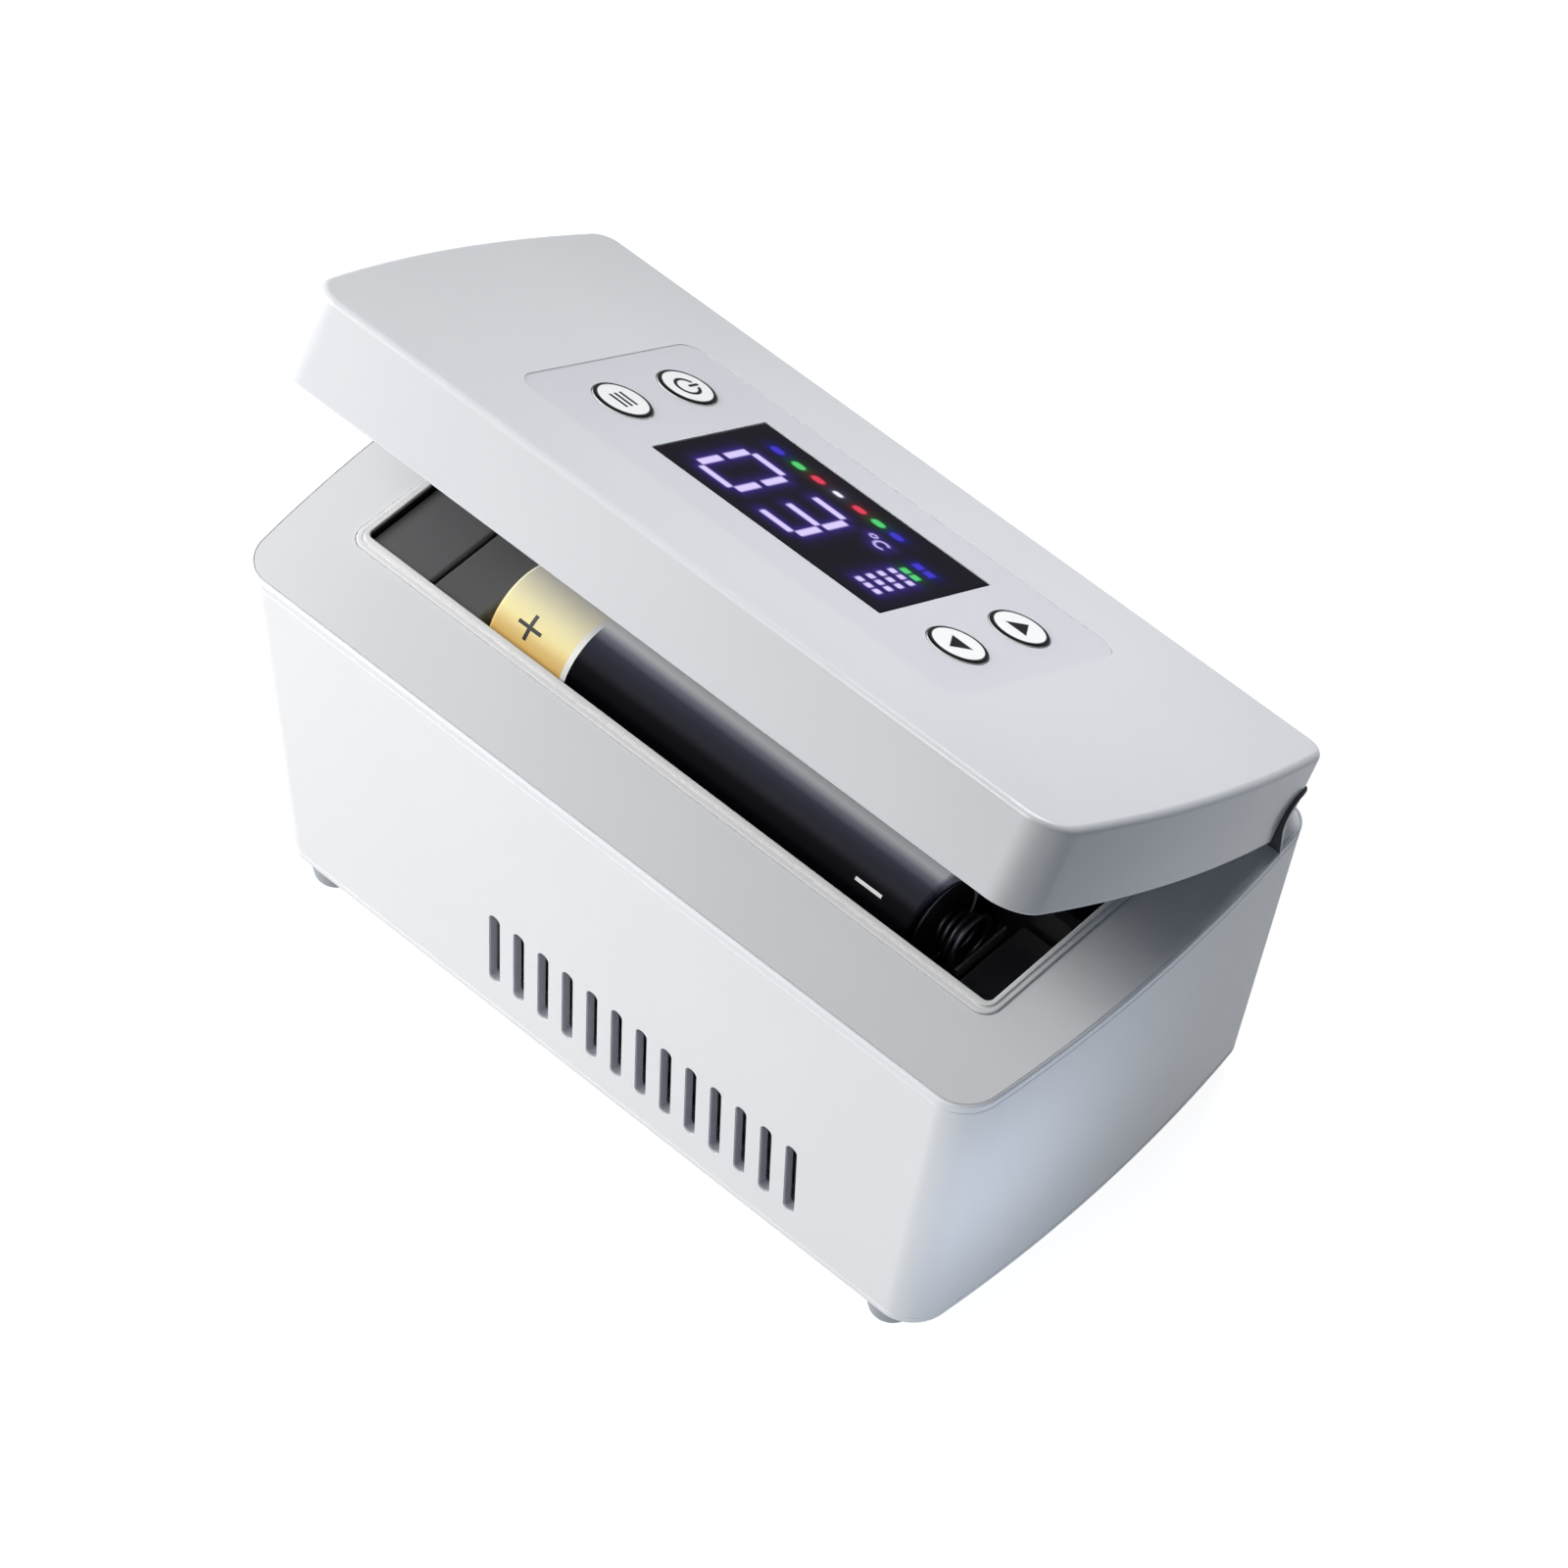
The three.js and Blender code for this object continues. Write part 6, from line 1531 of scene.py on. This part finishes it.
    def sign(self, name: str, points: np.ndarray) -> np.ndarray:
        """Distance to a key's sign, below zero inside it.

        A triangle is the highest of three half-plane distances. The power sign is a broken ring and a bar,
        and the settings sign is three bars.

        Args:
            name: The key.
            points: An (n, 2) array from the key's middle.

        Returns:
            An (n,) array.
        """
        if name in ("left", "right"):
            turn = 1 if name == "left" else -1
            angles = np.radians([-90, 30, 150])
            normals = np.stack([np.cos(angles), np.sin(angles) * turn], -1)
            return np.max(points @ normals.T, axis=1) - self.arrow_reach
        if name == "power":
            middle, half = self.power_ring
            ring = np.abs(np.linalg.norm(points, axis=1) - middle) - half
            gap = self.power_gap - np.abs(points[:, 0])
            ring = np.where(points[:, 1] > 0, np.maximum(ring, gap), ring)
            return np.minimum(ring, Mark(0, 2.0, 0.8, 3.2, radius=0.2).distance(points))
        bars = [Mark(0, y, 5.0, 0.8, radius=0.2).distance(points) for y in (-1.7, 0.0, 1.7)]
        return np.min(bars, axis=0)

    def keys(self) -> None:
        """Four round keys: a fine turned cap with a flange and a stem, a printed ring and a sign."""
        radius = self.lid.key_radius
        top = self.key_face_z
        rim = self.key_edge
        angle = np.linspace(0, math.pi / 2, 6)
        edge = [(radius - rim + rim * math.cos(a), top - rim + rim * math.sin(a)) for a in angle]
        face = [(float(r), top) for r in np.linspace(radius - 0.45, 0.08, 60)]
        stem = [(2.0, 107.6), (2.0, 108.3), (8.1, 108.3), (8.1, 109.3), (radius, 109.3)]
        for name, at in self.lid.key_places().items():
            surface = turned(stem + edge + face, at, 120)
            made = self.maker.piece(
                f"keycap_{name}", surface, "key_plastic", [f"key_{name}"], drawn=Drawn.LID, body=f"{name}_key"
            )
            points = surface.points[:, :2] - np.array(at)
            ring = self.key_ring_radius - np.linalg.norm(points, axis=1)
            away = np.minimum(ring, self.sign(name, points))
            amount = np.clip(0.5 - away / self.ink_fade, 0, 1)
            ink = np.where(surface.points[:, 2] > top - self.ink_depth, amount, 0)
            layer = made.data.attributes.new("ink", "FLOAT", "POINT")
            layer.data.foreach_set("value", ink.astype(np.float32))

    def make(self) -> None:
        """Builds and dresses the whole sub-assembly."""
        self.film()
        self.window()
        self.keys()


@dataclass(frozen=True)
class Lamp:
    """A square soft box: where it hangs, its side, its power, its colour and where it looks, in metres."""

    name: str
    location: Place
    side: float
    power: float
    colour: str = "#FFFFFF"
    target: Place = (0.0, 0.0, 0.09)

    def make(self) -> None:
        """Hangs the lamp."""
        data = bpy.data.lights.new(self.name, "AREA")
        data.shape = "RECTANGLE"
        data.size = data.size_y = self.side
        data.energy = self.power
        data.color = linear(self.colour)[:3]
        lamp = bpy.data.objects.new(self.name, data)
        lamp.location = self.location
        aim = Vector(self.target) - Vector(self.location)
        lamp.rotation_euler = aim.to_track_quat("-Z", "Y").to_euler()
        bpy.context.scene.collection.objects.link(lamp)


@dataclass
class Studio:
    """Camera, floor, world and lamps."""

    camera_at: Place = (0.60949, -0.70636, 1.24977)
    looks_at: Place = (0.005849, -0.002354, 0.065619)
    roll_degrees: float = 2.823
    lens: float = 169.08
    lamps: tuple[Lamp, ...] = (
        Lamp("key", (-0.22, -0.58, 0.99), 0.4, 4.3, "#FFFDFA"),
        Lamp("left_side", (-0.59, -0.1, 0.14), 0.3, 0.85, "#FFFEFC"),
        Lamp("left_high", (-0.42, -0.2, 0.42), 0.25, 1.9),
        Lamp("left_low", (-0.3, -0.45, 0.045), 0.09, 0.5, target=(0.0, 0.0, 0.045)),
        Lamp("front_low", (0.08, -0.5, 0.045), 0.09, 0.5, "#FAFBFF", (0.05, 0.0, 0.045)),
        Lamp("end_low", (0.155, -0.055, 0.05), 0.05, 0.028, "#C6D3E5", (0.1, -0.055, 0.05)),
        Lamp("lid_end", (0.17, 0.0, 0.14), 0.05, 0.005, "#A9C6EC", (0.1, 0.0, 0.12)),
        Lamp("lid_near", (0.045, 0.15, 0.33), 0.12, 0.48, "#FCFDFF", (0.05, 0.0, 0.13)),
    )
    sky: str = "#B9C8DB"
    sky_strength: float = 0.06
    floor_colour: str = "#A0A3A7"
    floor_lift: float = 0.92
    floor_half: float = 3000.0
    floor_drop: float = 0.05

    def camera(self) -> None:
        """Sets the camera: it looks from one point to another, then rolls about that line.

        Right starts as forward x up and rolls towards up: right cos r + up sin r.
        """
        eye = Vector(self.camera_at)
        forward = (Vector(self.looks_at) - eye).normalized()
        level = forward.cross(Vector((0, 0, 1))).normalized()
        upward = level.cross(forward)
        roll = math.radians(self.roll_degrees)
        right = level * math.cos(roll) + upward * math.sin(roll)
        up = right.cross(forward)
        data = bpy.data.cameras.new("photograph_view")
        data.lens = self.lens
        data.sensor_width = 36.0
        data.clip_end = 50.0
        view = bpy.data.objects.new("photograph_view", data)
        axes = Matrix((right, up, -forward)).transposed().to_4x4()
        view.matrix_world = Matrix.Translation(eye) @ axes
        bpy.context.scene.collection.objects.link(view)
        bpy.context.scene.camera = view

    def backdrop_share(self, tree: Tree) -> Socket:
        """Adds up the rays that see the backdrop itself: camera, glossy and transmission rays.

        Args:
            tree: The node tree.

        Returns:
            A socket of 1 for those rays and 0 for the others.
        """
        rays = add(tree, "ShaderNodeLightPath").outputs
        share = rays["Is Camera Ray"]
        for kind in ("Is Glossy Ray", "Is Transmission Ray"):
            either = add(tree, "ShaderNodeMath", {"operation": "MAXIMUM"}, {0: share, 1: rays[kind]})
            share = either.outputs[0]
        return share

    def world(self) -> None:
        """A pale, slightly cool sky that lights the object, and plain white where it is seen."""
        world = bpy.data.worlds.new("studio")
        world.use_nodes = True
        tree = world.node_tree
        tree.nodes.clear()
        sky = {"Color": linear(self.sky), "Strength": self.sky_strength}
        light = add(tree, "ShaderNodeBackground", sky)
        white = add(tree, "ShaderNodeBackground", {"Color": (1.0, 1.0, 1.0, 1.0), "Strength": 1.0})
        parts = {0: self.backdrop_share(tree), 1: light.outputs[0], 2: white.outputs[0]}
        seen = add(tree, "ShaderNodeMixShader", {}, parts)
        add(tree, "ShaderNodeOutputWorld", {}, {"Surface": seen.outputs[0]})
        bpy.context.scene.world = world

    def floor(self, maker: Maker) -> None:
        """A plain pale floor: a flat sheet that keeps the object's shadow and is seen as white.

        Args:
            maker: It writes the sheet's mesh.
        """
        half = self.floor_half
        corners = [[x * half, y * half, -self.floor_drop] for x, y in ((-1, -1), (1, -1), (1, 1), (-1, 1))]
        sheet = maker.mesh_object("floor", Surface(np.array(corners), [[0, 1, 2, 3]]), Drawn.CASE)
        made = bpy.data.materials.new("pale_paper_floor")
        made.use_nodes = True
        tree = made.node_tree
        shader = tree.nodes["Principled BSDF"]
        shader.inputs["Base Color"].default_value = linear(self.floor_colour)
        shader.inputs["Roughness"].default_value = 0.9
        shader.inputs["Specular IOR Level"].default_value = 0.1
        glow = add(tree, "ShaderNodeEmission", {"Color": (1.0, 1.0, 1.0, 1.0)})
        lift = {"operation": "MULTIPLY", 1: self.floor_lift}
        seen = add(tree, "ShaderNodeMath", lift, {0: self.backdrop_share(tree)})
        tree.links.new(seen.outputs[0], glow.inputs["Strength"])
        both = add(tree, "ShaderNodeAddShader", {}, {0: shader.outputs[0], 1: glow.outputs[0]})
        tree.links.new(both.outputs[0], tree.nodes["Material Output"].inputs["Surface"])
        sheet.data.materials.append(made)

    def make(self, maker: Maker) -> None:
        """Sets up everything round the object.

        Args:
            maker: It writes the floor's mesh.
        """
        self.camera()
        self.world()
        self.floor(maker)
        for lamp in self.lamps:
            lamp.make()
        bpy.context.scene.view_settings.view_transform = "Standard"


def main() -> None:
    """Builds the studio and every sub-assembly."""
    logging.basicConfig(level=logging.INFO, format="%(name)s: %(message)s")
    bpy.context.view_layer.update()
    maker = Maker()
    Studio().make(maker)
    Housing(maker).make()
    Deck(maker).make()
    CellLane(maker).make()
    lid = Lid(maker)
    lid.make()
    ControlPanel(maker, lid).make()
    maker.dress_nodes()
    log.info("%d pieces made", maker.count)


if __name__ == "__main__":
    main()
